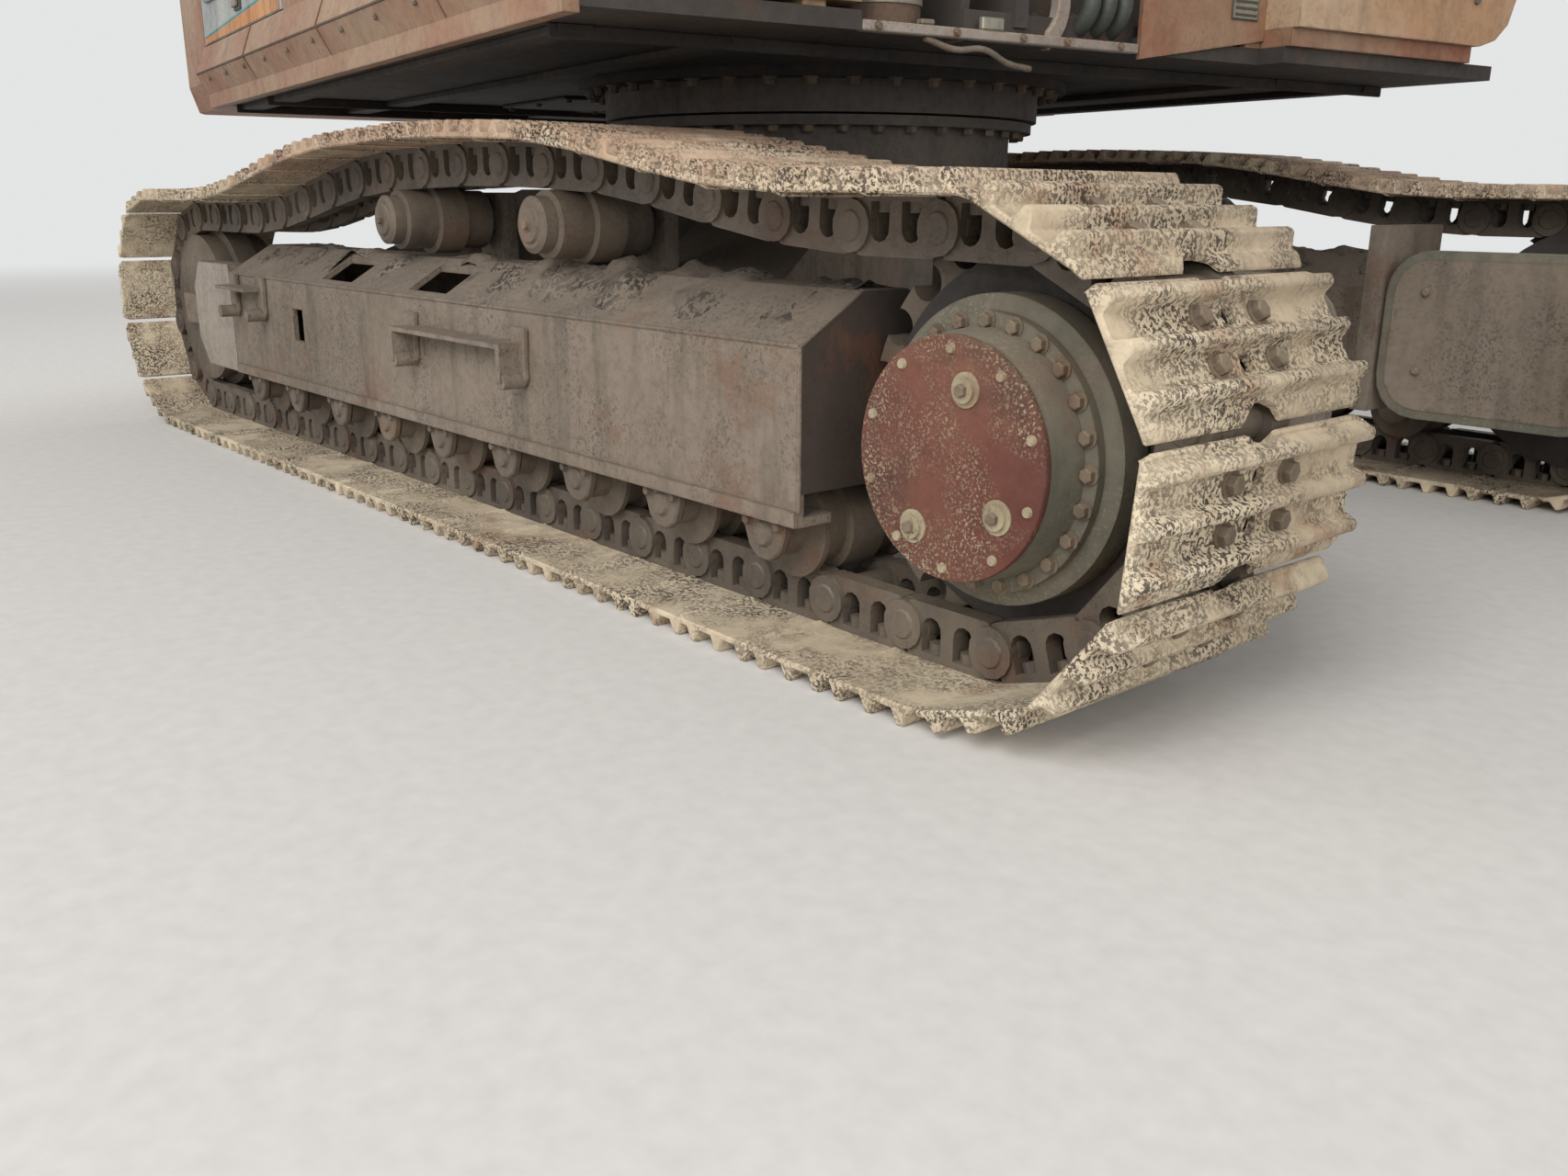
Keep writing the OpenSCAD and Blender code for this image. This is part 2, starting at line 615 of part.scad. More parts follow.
// Tanks and the tool box along the right hand side, each on two skids
tank_in = -560;
skid_z = floor_z + 16;
module on_skids(x, y, z1) {
    block(x, y, [skid_z, z1]);
    for (e = [y[0] + 80, y[1] - 140]) block([x[0] + 20, x[1] - 20], [e, e + 60], [floor_z + seat, skid_z + 1]);
}
module fuel_tank() {
    color("#8f5a3c") on_skids([-200, 690], [-house_half, tank_in], bay_top_z);
}
module hydraulic_tank() {
    color("#8f5a3c") {
        on_skids([bay_front + 10, -210], [-house_half, tank_in], bay_top_z);
        for (z = door_hinge_z) bored_leaf(door_front, -side_axis_y, z, 40, knuckle_out + 1);
    }
}
box_top_z = 1760;
box_in = -805;
module tool_box() {
    color("#8a6a50") difference() {
        on_skids([700, front_x], [-house_half, box_in], box_top_z);
        block([725, front_x - 25], [-house_half + 25, box_in - 25], [skid_z + 25, box_top_z + 1]);
    }
    color("#8a6a50") for (x = lid_hinge_x) {
        lid_place(x) bored_leaf(0, 0, 0, knuckle_r, -50);
        block([x + knuckle_h + 1, x + 2 * knuckle_h + 1], [box_in - 1, box_in + knuckle_out + knuckle_r],
            [box_top_z - 60, box_top_z - 10]);
    }
}
module lid_place(x) {
    translate([x, box_in + knuckle_out, box_top_z + knuckle_out + 1]) rotate([90, 0, 90]) children();
}
lid_hinge_x = [800, 1200];
module tool_box_lid() {
    color("#8a6a50") {
        block([700, front_x], [-house_half, box_in], [box_top_z + side_gap, box_top_z + 30]);
        for (x = lid_hinge_x) lid_place(x) pinned_leaf(0, 0, 0, -knuckle_out - 1, knuckle_r);
    }
}

// Cab base with the front panel beside the boom, and the cab on it
cab_out = house_half - 15;
cab_in = cab_out - cab_w;
cab_rear = -450;
cab_front = 1457;
base_top_z = 1300;
module cab_base() {
    color("#a8623c") {
        along(front_x - 12 + seat, front_x) polygon([[48, deck_z - 12], [cab_in - seat, deck_z + 58],
            [cab_in - seat, 1385], [48, 1385]]);
        block([front_x - 30, front_x - 11], [cab_in - 60, cab_in - seat], [floor_z + seat, base_top_z - 5]);
        block([front_x - 30, front_x - 14], [cab_in - 1, cab_in + 1], [floor_z + seat, base_top_z - 5]);
        block([cab_rear, cab_front - 20], [cab_in, cab_out - 160], [floor_z + seat, base_top_z - seat]);
    }
}
cab_profile = [[cab_rear, base_top_z], [cab_rear, cab_top_z - 60], [cab_rear + 60, cab_top_z],
    [900, cab_top_z], [1160, cab_top_z - 90], [1430, 2250], [cab_front, 1900],
    [cab_front, base_top_z]];
cab_inner = [[cab_rear + cab_t, base_top_z + cab_t], [cab_rear + cab_t, cab_top_z - 80],
    [cab_rear + 80, cab_top_z - cab_t], [885, cab_top_z - cab_t], [1120, cab_top_z - 130],
    [1380, 2240], [cab_front - cab_t, 1900], [cab_front - cab_t, base_top_z + cab_t]];
doorway = [-330, 640];
door_sill_z = 1450;
door_head_z = cab_top_z - 120;
side_window = [[1060, door_head_z - 20], [1340, 2240], [1360, 1950]];
module cab() {
    color("#a8623c") difference() {
        intersection() {
            across(cab_in, cab_out) polygon(cab_profile);
            along(cab_rear - 1, cab_front + 1) polygon([[cab_in, base_top_z], [cab_out - 150, base_top_z],
                [cab_out - 80, base_top_z + 20], [cab_out - 25, base_top_z + 66],
                [cab_out, base_top_z + 134], [cab_out, cab_top_z - 60], [cab_out - 40, cab_top_z],
                [cab_in + 40, cab_top_z], [cab_in, cab_top_z - 60]]);
        }
        intersection() {
            across(cab_in + cab_t, cab_out - cab_t) polygon(cab_inner);
            along(cab_rear - 1, cab_front + 1) polygon([[cab_in, base_top_z], [cab_out - 170, base_top_z],
                [cab_out - cab_t, base_top_z + 140], [cab_out - cab_t, cab_top_z], [cab_in, cab_top_z]]);
        }
        // Doorway and side windows
        block([doorway[0], doorway[1]], [cab_out - cab_t - 1, cab_out + 1], [door_sill_z, door_head_z]);
        across(cab_out - cab_t - 1, cab_out + 1) polygon(left_window);
        across(cab_in - 1, cab_in + cab_t + 1) polygon(right_window);
        // Windscreen, rear window and roof hatch
        block([1100, cab_front + 10], [cab_in + 90, cab_out - 90], [1750, 2960]);
        block([cab_rear - 1, cab_rear + cab_t + 1], [cab_in + 90, cab_out - 90], [2050, cab_top_z - 140]);
        block([100, 750], [cab_in + 140, cab_out - 140], [cab_top_z - cab_t - 1, cab_top_z + 1]);
    }
    color("#a8623c") for (z = cab_hinge_z)
        bored_leaf(doorway[0] + side_gap, cab_out + knuckle_out, z, -40, -knuckle_out - 1);
}
cab_hinge_z = [1560, 2850];
module cab_door() {
    color("#a8623c") for (z = cab_hinge_z)
        pinned_leaf(doorway[0] + side_gap, cab_out + knuckle_out, z, 25, -knuckle_out - 1);
    color("#a8623c") difference() {
        block([doorway[0] + side_gap, doorway[1] - 8], [cab_out - 45, cab_out],
            [door_sill_z + side_gap, door_head_z - side_gap]);
        block([doorway[0] + 75, doorway[1] - 75], [cab_out - 46, cab_out + 1], [2000, door_head_z - 75]);
    }
}
glass_t = 6;
// A pane's outline, set in from its opening; the outlines run clockwise
function inset(p, d) = [for (i = [0:len(p) - 1])
    let (a = outward(unit(p[i] - p[(i + len(p) - 1) % len(p)])),
        b = outward(unit(p[(i + 1) % len(p)] - p[i])), m = unit(a + b)) p[i] + m * d / (m * b)];
left_window = concat([[740, 1950], [740, door_head_z]], side_window);
right_window = concat([[-330, 1950], [-330, door_head_z]], side_window);
pane_y = [cab_in + 90 + seat, cab_out - 90 - seat];
module cab_glass() {
    color([0.5, 0.6, 0.65, 0.4]) {
        across(cab_in + 20, cab_in + 20 + glass_t) polygon(inset(right_window, seat));
        across(cab_out - 20 - glass_t, cab_out - 20) polygon(inset(left_window, seat));
        block([cab_rear + 20, cab_rear + 20 + glass_t], pane_y, [2050 + seat, cab_top_z - 140 - seat]);
        block([100 + seat, 750 - seat], [cab_in + 140 + seat, cab_out - 140 - seat],
            [cab_top_z - 30, cab_top_z - 30 + glass_t]);
        across(pane_y[0], pane_y[1]) polygon([[1172, 2960 - seat], [1410, 2250], [1437, 1900],
            [1437, 1750 + seat], [1437 - glass_t, 1750 + seat], [1437 - glass_t, 1900],
            [1410 - glass_t, 2250], [1172 - glass_t, 2960 - seat]]);
    }
}
module seat() {
    color("#2e2c2a") {
        block([-80, 420], [cab_in + 230, cab_out - 240], [base_top_z + cab_t + seat, 1560]);
        block([-120, 440], [cab_in + 200, cab_out - 210], [1559, 1700]);
        block([-190, -60], [cab_in + 220, cab_out - 230], [1640, 2400]);
    }
}

// A rail bent round the front right corner and a low rail along the tanks
rail_r = 17;
rail_y = -house_half + 40;
module pipe(points) {
    for (i = [0:len(points) - 2]) let (a = points[i], b = points[i + 1], v = b - a) translate(a) {
        rotate([0, acos(v[2] / norm(v)), atan2(v[1], v[0])]) cylinder(r = rail_r, h = norm(v), $fn = 24);
        if (i > 0) sphere(r = rail_r + 1, $fn = 24);
    }
}
module handrails() {
    color("#77706a") {
        pipe([[front_x + 50, rail_y, 1480], [front_x + 50, rail_y, 2380], [front_x - 40, rail_y, 2520],
            [600, rail_y, 2520], [560, rail_y, 2480], [560, rail_y, bay_top_z + seat]]);
        translate([front_x + seat, rail_y, 1500]) rotate([0, 90, 0]) cylinder(r = rail_r - 3, h = 50 - seat);
        pipe([[480, rail_y, bay_top_z + seat], [480, rail_y, 2400], [-160, rail_y, 2400],
            [-160, rail_y, bay_top_z + seat]]);
    }
}
module exhaust() {
    color("#4a4038") {
        translate([bay_front - 300, -1100, bay_top_z + seat]) cylinder(r = 60, h = 400, $fn = 32);
    }
}
module front_hoses() {
    color("#2c2a28") {
        for (y = [-740, -650, -560]) translate([notch_x - 120, y, floor_z + seat])
            cylinder(r = 28, h = 180, $fn = 24);
    }
}

// Boom, drawn along its own line from the foot and then raised to its parked angle
tip_z = bucket_pin_z + arm_len * sin(arm_drop);
boom_rise = asin((tip_z - foot_z) / boom_len);
tip_x = foot_x + boom_len * cos(boom_rise);
lift_pin = [2950, 800];
crowd_foot = [2750, 1650];
module on_boom() {
    translate([foot_x, 0, foot_z]) rotate([0, -boom_rise, 0]) children();
}
boom_outline = [[60, -160], [500, 70], [2500, 660], [3300, 660], [boom_len - 120, -170],
    [boom_len + 60, -150], [boom_len + 120, 60], [boom_len - 60, 190], [3400, 1330],
    [3100, 1400], [2500, 1390], [450, 500], [-40, 165]];
ear_y = arm_w / 2 + side_gap + 5;
module boom() {
    color("#9a5a3a") on_boom() difference() {
        union() {
            across(-boom_w / 2, boom_w / 2) polygon(boom_outline);
            lying(0, 0, 170, -foot_y + side_gap, foot_y - side_gap);
            lying(0, 0, pin_r, -foot_y - foot_t - 20, foot_y + foot_t + 20);
            lying(lift_pin[0], lift_pin[1], 110, -lift_y + 60, lift_y - 60);
            for (s = [-1, 1]) across(s * 75 - 20, s * 75 + 20) polygon([[crowd_foot[0] - 300, 1340],
                [crowd_foot[0] - 110, crowd_foot[1] + 40], [crowd_foot[0] + 80, crowd_foot[1] + 60],
                [crowd_foot[0] + 240, 1360]]);
        }
        block([boom_len - 600, boom_len + 300], [-ear_y, ear_y], [-400, 500]);
        lying(boom_len, 0, pin_r + fit, -500, 500);
        lying(crowd_foot[0], crowd_foot[1], pin_r + fit, -500, 500);
    }
}

// Arm, drawn along its own line from its pivot to the bucket pin
module on_arm() {
    translate([tip_x, 0, tip_z]) rotate([0, arm_drop, 0]) children();
}
crowd_pin = [-820, 330];
curl_foot = [420, 560];
rocker_pin = [arm_len - 480, 70];
arm_outline = [[-520, 110], [-700, 290], [-700, 420], [-560, 470], [250, 440], [arm_len - 620, 190],
    [arm_len - 60, 130], [arm_len + 60, 90], [arm_len + 110, 0], [arm_len + 60, -90],
    [arm_len - 200, -130], [350, -230], [-100, -215], [-260, -120]];
module arm() {
    color("#9a5a3a") on_arm() difference() {
        union() {
            across(-arm_w / 2, arm_w / 2) polygon(arm_outline);
            lying(0, 0, 160, -arm_w / 2, arm_w / 2);
            lying(0, 0, pin_r, -boom_w / 2 - 20, boom_w / 2 + 20);
            for (s = [-1, 1]) across(s * 90 - 22, s * 90 + 22) polygon([[-600, 220], [-600, 440],
                [crowd_pin[0] - 50, crowd_pin[1] + 100], [crowd_pin[0] - 100, crowd_pin[1]],
                [crowd_pin[0] - 50, crowd_pin[1] - 90]]);
            for (s = [-1, 1]) across(s * 90 - 22, s * 90 + 22) polygon([[curl_foot[0] - 230, 400],
                [curl_foot[0] - 90, curl_foot[1] + 60], [curl_foot[0] + 60, curl_foot[1] + 80],
                [curl_foot[0] + 200, 390]]);
        }
        lying(curl_foot[0], curl_foot[1], pin_r + fit, -500, 500);
        lying(rocker_pin[0], rocker_pin[1], pin_r + fit, -500, 500);
        lying(arm_len, 0, pin_r + fit, -500, 500);
        // Slot between the ears for the eye of the arm's rod
        block([crowd_pin[0] - 280, crowd_pin[0] + 230], [-66, 66], [-300, 700]);
    }
}

// Linkage points in the arm's own plane: link pin on the bucket and top of the rocker
function meet(p, a, q, b) =
    let (d = norm(q - p), e = (q - p) / d, m = (a * a - b * b + d * d) / (2 * d))
    p + e * m + [-e[1], e[0]] * sqrt(a * a - m * m);
bucket_pin = [arm_len, 0];
link_pin = bucket_pin + bucket_pin_gap * [cos(bucket_turn), sin(bucket_turn)];
rocker_top = meet(rocker_pin, rocker_len, link_pin, push_len);
function heading(p, q) = atan2(q[1] - p[1], q[0] - p[0]);

module bar(p, q, r, y0, y1) {
    translate([p[0], 0, p[1]]) rotate([0, -heading(p, q), 0]) {
        across(y0, y1) polygon([[0, -r * 0.7], [norm(q - p), -r * 0.7], [norm(q - p), r * 0.7], [0, r * 0.7]]);
        lying(0, 0, r, y0, y1);
        lying(norm(q - p), 0, r, y0, y1);
    }
}
rocker_y = arm_w / 2 + side_gap + 2;
rocker_t = 32;
module rocker() {
    color("#6f5a48") on_arm() {
        for (y = [-rocker_y - rocker_t, rocker_y]) bar(rocker_pin, rocker_top, 85, y, y + rocker_t);
        lying(rocker_pin[0], rocker_pin[1], pin_r, -rocker_y - rocker_t, rocker_y + rocker_t);
    }
}
module push_link() {
    color("#6f5a48") on_arm() difference() {
        for (y = [-rocker_y + 6, 72]) bar(rocker_top, link_pin, 80, y, y + rocker_y - 78);
        lying(link_pin[0], link_pin[1], pin_r + fit, -500, 500);
    }
}

// Bucket, drawn in the world plane round its pin
bucket_x = tip_x + arm_len * cos(arm_drop);
link_dir_deg = -arm_drop + bucket_turn;
module on_bucket() {
    translate([bucket_x, 0, bucket_pin_z]) children();
}
bowl_r = 476;
bowl_c = [-105, bowl_r - bucket_pin_z + 1];
bowl_arc = [for (a = [-90:15:0]) bowl_c + bowl_r * [cos(a), sin(a)]];
bowl_in = [for (a = [0:-15:-90]) bowl_c + (bowl_r - bucket_t) * [cos(a), sin(a)]];
tooth_tip = [-1150, bowl_c[1] - bowl_r];
lip_top = [-190, -110];
bucket_outer = concat([tooth_tip + [150, 0]], bowl_arc, [lip_top]);
bucket_side = concat([tooth_tip + [150, 0]], bowl_arc, [lip_top, lip_top + [-90, -60],
    [-560, -460], tooth_tip + [170, 160]]);
bucket_wrap = concat([tooth_tip + [150, 0]], bowl_arc, [lip_top, lip_top + [-20, -16]],
    [bowl_in[0] + [0, 10]], bowl_in, [tooth_tip + [150, bucket_t]]);
ear_in = rocker_y;
ear_t = 40;
module bucket() {
    color("#6b5f50") on_bucket() {
        across(-bucket_w / 2, bucket_w / 2) polygon(bucket_wrap);
        for (y = [-bucket_w / 2, bucket_w / 2 - bucket_t]) across(y, y + bucket_t) polygon(bucket_side);
        for (i = [-2:2]) across(i * 300 - 45, i * 300 + 45) polygon([tooth_tip,
            tooth_tip + [190, 0], tooth_tip + [190, 70], tooth_tip + [20, 14]]);
        for (y = [-ear_in - ear_t, ear_in]) across(y, y + ear_t) union() {
            polygon([lip_top + [6, 0], [-70, 60], [70, 60], [link_xz[0] + 90, link_xz[1] + 30],
                bowl_c + [bowl_r - 7, -9], lip_top + [5, -19]]);
            circle(r = 100);
            translate(link_xz) circle(r = 95);
        }
        lying(0, 0, pin_r, -ear_in - ear_t, ear_in + ear_t);
        lying(link_xz[0], link_xz[1], pin_r, -ear_in - ear_t, ear_in + ear_t);
    }
}
link_xz = bucket_pin_gap * [cos(link_dir_deg), sin(link_dir_deg)];

// Cylinders: the barrel from its foot pin, and the rod that slides in its bore
neck = 200;
module barrel(p, q, len, half, bore_from) {
    translate([p[0], 0, p[1]]) rotate([0, -heading(p, q), 0]) difference() {
        union() {
            rotate([0, 90, 0]) translate([0, 0, neck]) cylinder(r = barrel_r, h = len - neck);
            rotate([0, 90, 0]) translate([0, 0, len - 110]) cylinder(r = barrel_r + 5, h = 110);
            block([0, neck + 1], [-half, half], [-60, 60]);
            lying(0, 0, eye_r, -half, half);
        }
        rotate([0, 90, 0]) translate([0, 0, bore_from]) cylinder(r = rod_r + fit / 2, h = len);
    }
}
module rod(p, q, inner, half) {
    translate([p[0], 0, p[1]]) rotate([0, -heading(p, q), 0]) {
        rotate([0, 90, 0]) translate([0, 0, inner]) cylinder(r = rod_r, h = norm(q - p) - inner - eye_r / 2);
        lying(norm(q - p), 0, eye_r, -half, half);
    }
}
function boom_point(p) = [foot_x, foot_z] + [p[0] * cos(boom_rise) - p[1] * sin(boom_rise),
    p[0] * sin(boom_rise) + p[1] * cos(boom_rise)];
function arm_point(p) = [tip_x, tip_z] + [p[0] * cos(arm_drop) + p[1] * sin(arm_drop),
    -p[0] * sin(arm_drop) + p[1] * cos(arm_drop)];
lift_foot = [lift_x, lift_z];
lift_end = boom_point(lift_pin);
crowd_from = boom_point(crowd_foot);
crowd_end = arm_point(crowd_pin);
lift_barrel = 1665;
crowd_barrel = 2150;
curl_barrel = 1600;
module boom_barrels() {
    color("#8a5a40") {
        for (s = [-1, 1]) translate([0, s * lift_y, 0]) barrel(lift_foot, lift_end, lift_barrel, 52, 130);
        for (s = [-1, 1]) lying(lift_x, lift_z, pin_r, min(s * foot_y, s * (lug_y + 25)),
            max(s * foot_y, s * (lug_y + 25)));
    }
}
module boom_rods() {
    color("#b9b6ae") for (s = [-1, 1]) translate([0, s * lift_y, 0]) rod(lift_foot, lift_end, 970, 52);
}
module arm_barrel() {
    color("#8a5a40") {
        barrel(crowd_from, crowd_end, crowd_barrel, 50, 200);
        lying(crowd_from[0], crowd_from[1], pin_r, -95, 95);
    }
}
module arm_rod() {
    color("#b9b6ae") rod(crowd_from, crowd_end, 1400, 60);
}
module bucket_barrel() {
    color("#8a5a40") {
        barrel(arm_point(curl_foot), arm_point(rocker_top), curl_barrel, 62, 200);
        lying(arm_point(curl_foot)[0], arm_point(curl_foot)[1], pin_r, -112, 112);
    }
}
module bucket_rod() {
    color("#b9b6ae") rod(arm_point(curl_foot), arm_point(rocker_top), 712, 60);
}

car_body();
legs();
track_frame_right();
track_frame_left();
track_right();
track_left();
bottom_rollers();
carrier_rollers();
idlers();
sprockets();
final_drives();
drive_covers();
slew_bearing();
deck();
side_skirts();
counterweight();
engine_bay();
engine();
hood();
pump_door();
cooler_door();
fuel_tank();
hydraulic_tank();
tool_box();
tool_box_lid();
cab_base();
cab();
cab_door();
cab_glass();
seat();
handrails();
exhaust();
front_hoses();
boom();
boom_barrels();
boom_rods();
arm();
arm_barrel();
arm_rod();
bucket();
bucket_barrel();
bucket_rod();
rocker();
push_link();
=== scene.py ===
# %% [markdown]
# # A crawler excavator on long tracks
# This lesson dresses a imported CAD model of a 34 tonne excavator for a picture taken from beside
# its right track. The CAD model is a fixed frame: its pieces keep their places, and what is
# modelled here is laid on them or stands for them. Everything is in metres, +X is the front of
# the upper structure, +Y its left and +Z up.

# %% Load the frame
from math import radians, degrees, sin, cos, atan2, sqrt, pi
import bpy
from mathutils import Matrix, Vector


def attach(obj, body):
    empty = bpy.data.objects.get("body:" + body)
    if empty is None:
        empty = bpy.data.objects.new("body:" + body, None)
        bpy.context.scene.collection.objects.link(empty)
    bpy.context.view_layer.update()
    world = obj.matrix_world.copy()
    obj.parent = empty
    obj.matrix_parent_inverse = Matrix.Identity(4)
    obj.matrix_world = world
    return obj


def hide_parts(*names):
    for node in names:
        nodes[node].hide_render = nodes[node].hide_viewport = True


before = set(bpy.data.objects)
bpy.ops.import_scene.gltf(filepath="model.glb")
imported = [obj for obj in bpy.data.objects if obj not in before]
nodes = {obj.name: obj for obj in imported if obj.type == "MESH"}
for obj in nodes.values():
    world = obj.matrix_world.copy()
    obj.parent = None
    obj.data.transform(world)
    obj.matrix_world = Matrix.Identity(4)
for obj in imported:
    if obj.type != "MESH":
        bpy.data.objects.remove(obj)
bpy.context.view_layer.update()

# %% [markdown]
# ## Sizes that the pieces share
# The same sizes as in the part's source, in metres, so that bolts, links and hoses land on the
# CAD solids. The tracks are turned by 8 degrees under the upper structure, and `track_place`
# turns a point of a track's own plan into the machine's frame.

# %% Shared sizes
YAW = radians(8)
HALF_GAUGE = 1.300
HALF_BASE = 2.025
DRIVE_Z, DRIVE_R = 0.4577, 0.3597
IDLER_Z, IDLER_R = 0.443, 0.345
FRAME_FRONT, FRAME_REAR, FRAME_HALF = 1.635, -1.375, 0.215
LIP_Z, EDGE_Z, TOP_Z = 0.266, 0.606, 0.700
CARRIERS, CARRIER_Z = (0.625, -0.175), 0.8017
ROLLERS = [1.512 - 0.3455 * i for i in range(9)]
ROLLER_Z = 0.2303
HOUSE, FRONT, REAR = 1.495, 1.350, -2.200
DECK_Z = 1.215
CAB_IN, CAB_OUT, CAB_REAR = 0.510, 1.480, -0.450
SIDES = {"right": -1, "left": 1}

def track_place(side):
    """Matrix from a track's own plan (x forwards, y outwards on the left track) to the machine."""
    return Matrix.Rotation(YAW, 4, "Z") @ Matrix.Translation((0, SIDES[side] * HALF_GAUGE, 0))

print("right track stands at", track_place("right").translation)

# %% [markdown]
# ## Hand tools
# A few small helpers stand for the motions of a modeller's hand: leave everything unselected,
# start from a primitive at its real size and place, pick faces or edges by where they are, and
# bake a piece's place into its mesh so that its object sits at the origin.

# %% Hand tools
def leave_all():
    if bpy.context.mode != "OBJECT":
        bpy.ops.object.mode_set(mode="OBJECT")
    bpy.ops.object.select_all(action="DESELECT")

def only(obj):
    leave_all()
    obj.select_set(True)
    bpy.context.view_layer.objects.active = obj
    return obj

def settle(name):
    """The new primitive gets its name, and its place goes into its mesh."""
    obj = bpy.context.object
    bpy.ops.object.transform_apply(location=True, rotation=True, scale=True)
    obj.name = name
    return obj

def cuboid(lo, hi, name="block"):
    leave_all()
    lo, hi = Vector(lo), Vector(hi)
    bpy.ops.mesh.primitive_cube_add(size=1, location=(lo + hi) / 2, scale=hi - lo)
    return settle(name)

def bar(start, end, radius, sides=12, name="bar", far_radius=None):
    """A round bar from one point to another, tapering if a far radius is given."""
    leave_all()
    start, end = Vector(start), Vector(end)
    turn = (end - start).to_track_quat("Z", "Y").to_euler()
    where = dict(vertices=sides, depth=(end - start).length, location=(start + end) / 2, rotation=turn)
    if far_radius is None:
        bpy.ops.mesh.primitive_cylinder_add(radius=radius, **where)
    else:
        bpy.ops.mesh.primitive_cone_add(radius1=radius, radius2=far_radius, **where)
    return settle(name)

def pick(obj, wanted, kind="FACE"):
    """Goes into edit mode with the faces, edges or vertices that wanted(place, normal) accepts."""
    only(obj)
    bpy.ops.object.mode_set(mode="EDIT")
    bpy.ops.mesh.select_mode(type=kind)
    bpy.ops.mesh.select_all(action="DESELECT")
    bpy.ops.object.mode_set(mode="OBJECT")
    mesh = obj.data
    if kind == "FACE":
        for f in mesh.polygons:
            f.select = bool(wanted(f.center, f.normal))
    elif kind == "EDGE":
        for e in mesh.edges:
            a, b = (mesh.vertices[v].co for v in e.vertices)
            e.select = bool(wanted((a + b) / 2, (b - a).normalized()))
    else:
        for v in mesh.vertices:
            v.select = bool(wanted(v.co, v.normal))
    bpy.ops.object.mode_set(mode="EDIT")

def done():
    bpy.ops.object.mode_set(mode="OBJECT")

def rounded(obj, width, segments=2, angle=35):
    """Breaks the sharp edges, as every pressed, cast or welded piece has them."""
    only(obj)
    mod = obj.modifiers.new("edges", "BEVEL")
    mod.width, mod.segments, mod.angle_limit = width, segments, radians(angle)
    mod.harden_normals = False
    bpy.ops.object.modifier_apply(modifier=mod.name)
    bpy.ops.object.shade_smooth_by_angle(angle=radians(35))
    return obj

def minus(obj, cutter):
    """Cuts one piece out of another and throws the cutter away."""
    only(obj)
    mod = obj.modifiers.new("cut", "BOOLEAN")
    mod.operation, mod.object, mod.solver = "DIFFERENCE", cutter, "EXACT"
    bpy.ops.object.modifier_apply(modifier=mod.name)
    bpy.data.objects.remove(cutter)
    return obj

def joined(pieces, name):
    leave_all()
    for p in pieces:
        p.select_set(True)
    bpy.context.view_layer.objects.active = pieces[0]
    if len(pieces) > 1:
        bpy.ops.object.join()
    pieces[0].name = name
    return pieces[0]

def repeated(master, places, name):
    """The master copied to every place, each copy with its own mesh, and all joined."""
    made = []
    for place in places:
        twin = master.copy()
        twin.data = master.data.copy()
        twin.data.transform(place)
        bpy.context.collection.objects.link(twin)
        made.append(twin)
    bpy.data.objects.remove(master)
    return joined(made, name)

def plate(outline, y0, y1, name="plate"):
    """A flat plate cut to an outline of (x, z) corners, between two places across the machine."""
    leave_all()
    bpy.ops.mesh.primitive_circle_add(vertices=len(outline), fill_type="NGON")
    obj = bpy.context.object
    for v, (x, z) in zip(obj.data.vertices, outline):
        v.co = (x, y0, z)
    bpy.ops.object.mode_set(mode="EDIT")
    bpy.ops.mesh.select_all(action="SELECT")
    bpy.ops.mesh.extrude_region_move(TRANSFORM_OT_translate={"value": (0, y1 - y0, 0)})
    bpy.ops.mesh.select_all(action="SELECT")
    bpy.ops.mesh.normals_make_consistent(inside=False)
    bpy.ops.object.mode_set(mode="OBJECT")
    return settle(name)

def finish(obj, body, materials=()):
    """Rides the piece on its body and gives it its finish."""
    for m in materials:
        obj.data.materials.append(m)
    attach(obj, body)
    tris = sum(len(f.vertices) - 2 for f in obj.data.polygons)
    print(obj.name, "on", body, tris, "triangles")
    return obj
# %% [markdown]
# ## Camera, light and floor
# The picture was taken at knee height in front of the machine's right track, looking back along
# it, with a lens of about 30 mm. The place was solved from the track's pins, rollers and
# the slewing ring. The camera's matrix is built from its heading, pitch and roll, which says more
# than three Euler angles would.

# %% Camera
EYE = Vector((3.8657, -2.6039, 0.8647))
HEADING, PITCH, ROLL = radians(147.41), radians(16.39), radians(0.32)
FOCAL_PIXELS, WIDE_PIXELS = 1441.8, 1706
look = Vector((cos(HEADING) * cos(PITCH), sin(HEADING) * cos(PITCH), -sin(PITCH)))
level_right = Vector((sin(HEADING), -cos(HEADING), 0))
level_up = level_right.cross(look)
right_hand = level_right * cos(ROLL) + level_up * sin(ROLL)
up_hand = level_up * cos(ROLL) - level_right * sin(ROLL)
bpy.ops.object.camera_add()
camera = bpy.context.object
camera.data.sensor_width = 36
camera.data.lens = 36 * FOCAL_PIXELS / WIDE_PIXELS
camera.data.clip_start, camera.data.clip_end = 0.05, 200
turn = Matrix((right_hand, up_hand, -look)).transposed().to_4x4()
camera.matrix_world = Matrix.Translation(EYE) @ turn
bpy.context.scene.camera = camera
print("lens", round(camera.data.lens, 2), "mm at", tuple(round(c, 3) for c in EYE))

# %% [markdown]
# A studio for something this large is a bright overcast sky: an even pale world and two very
# large soft lamps, high in front of the right track and behind it, and weaker ones low at the sides. The floor is a plain pale
# ground that keeps the shadow. Where the camera, a gloss or a clear pane sees past the floor, the
# world is near white, so the backdrop costs no light on the machine.

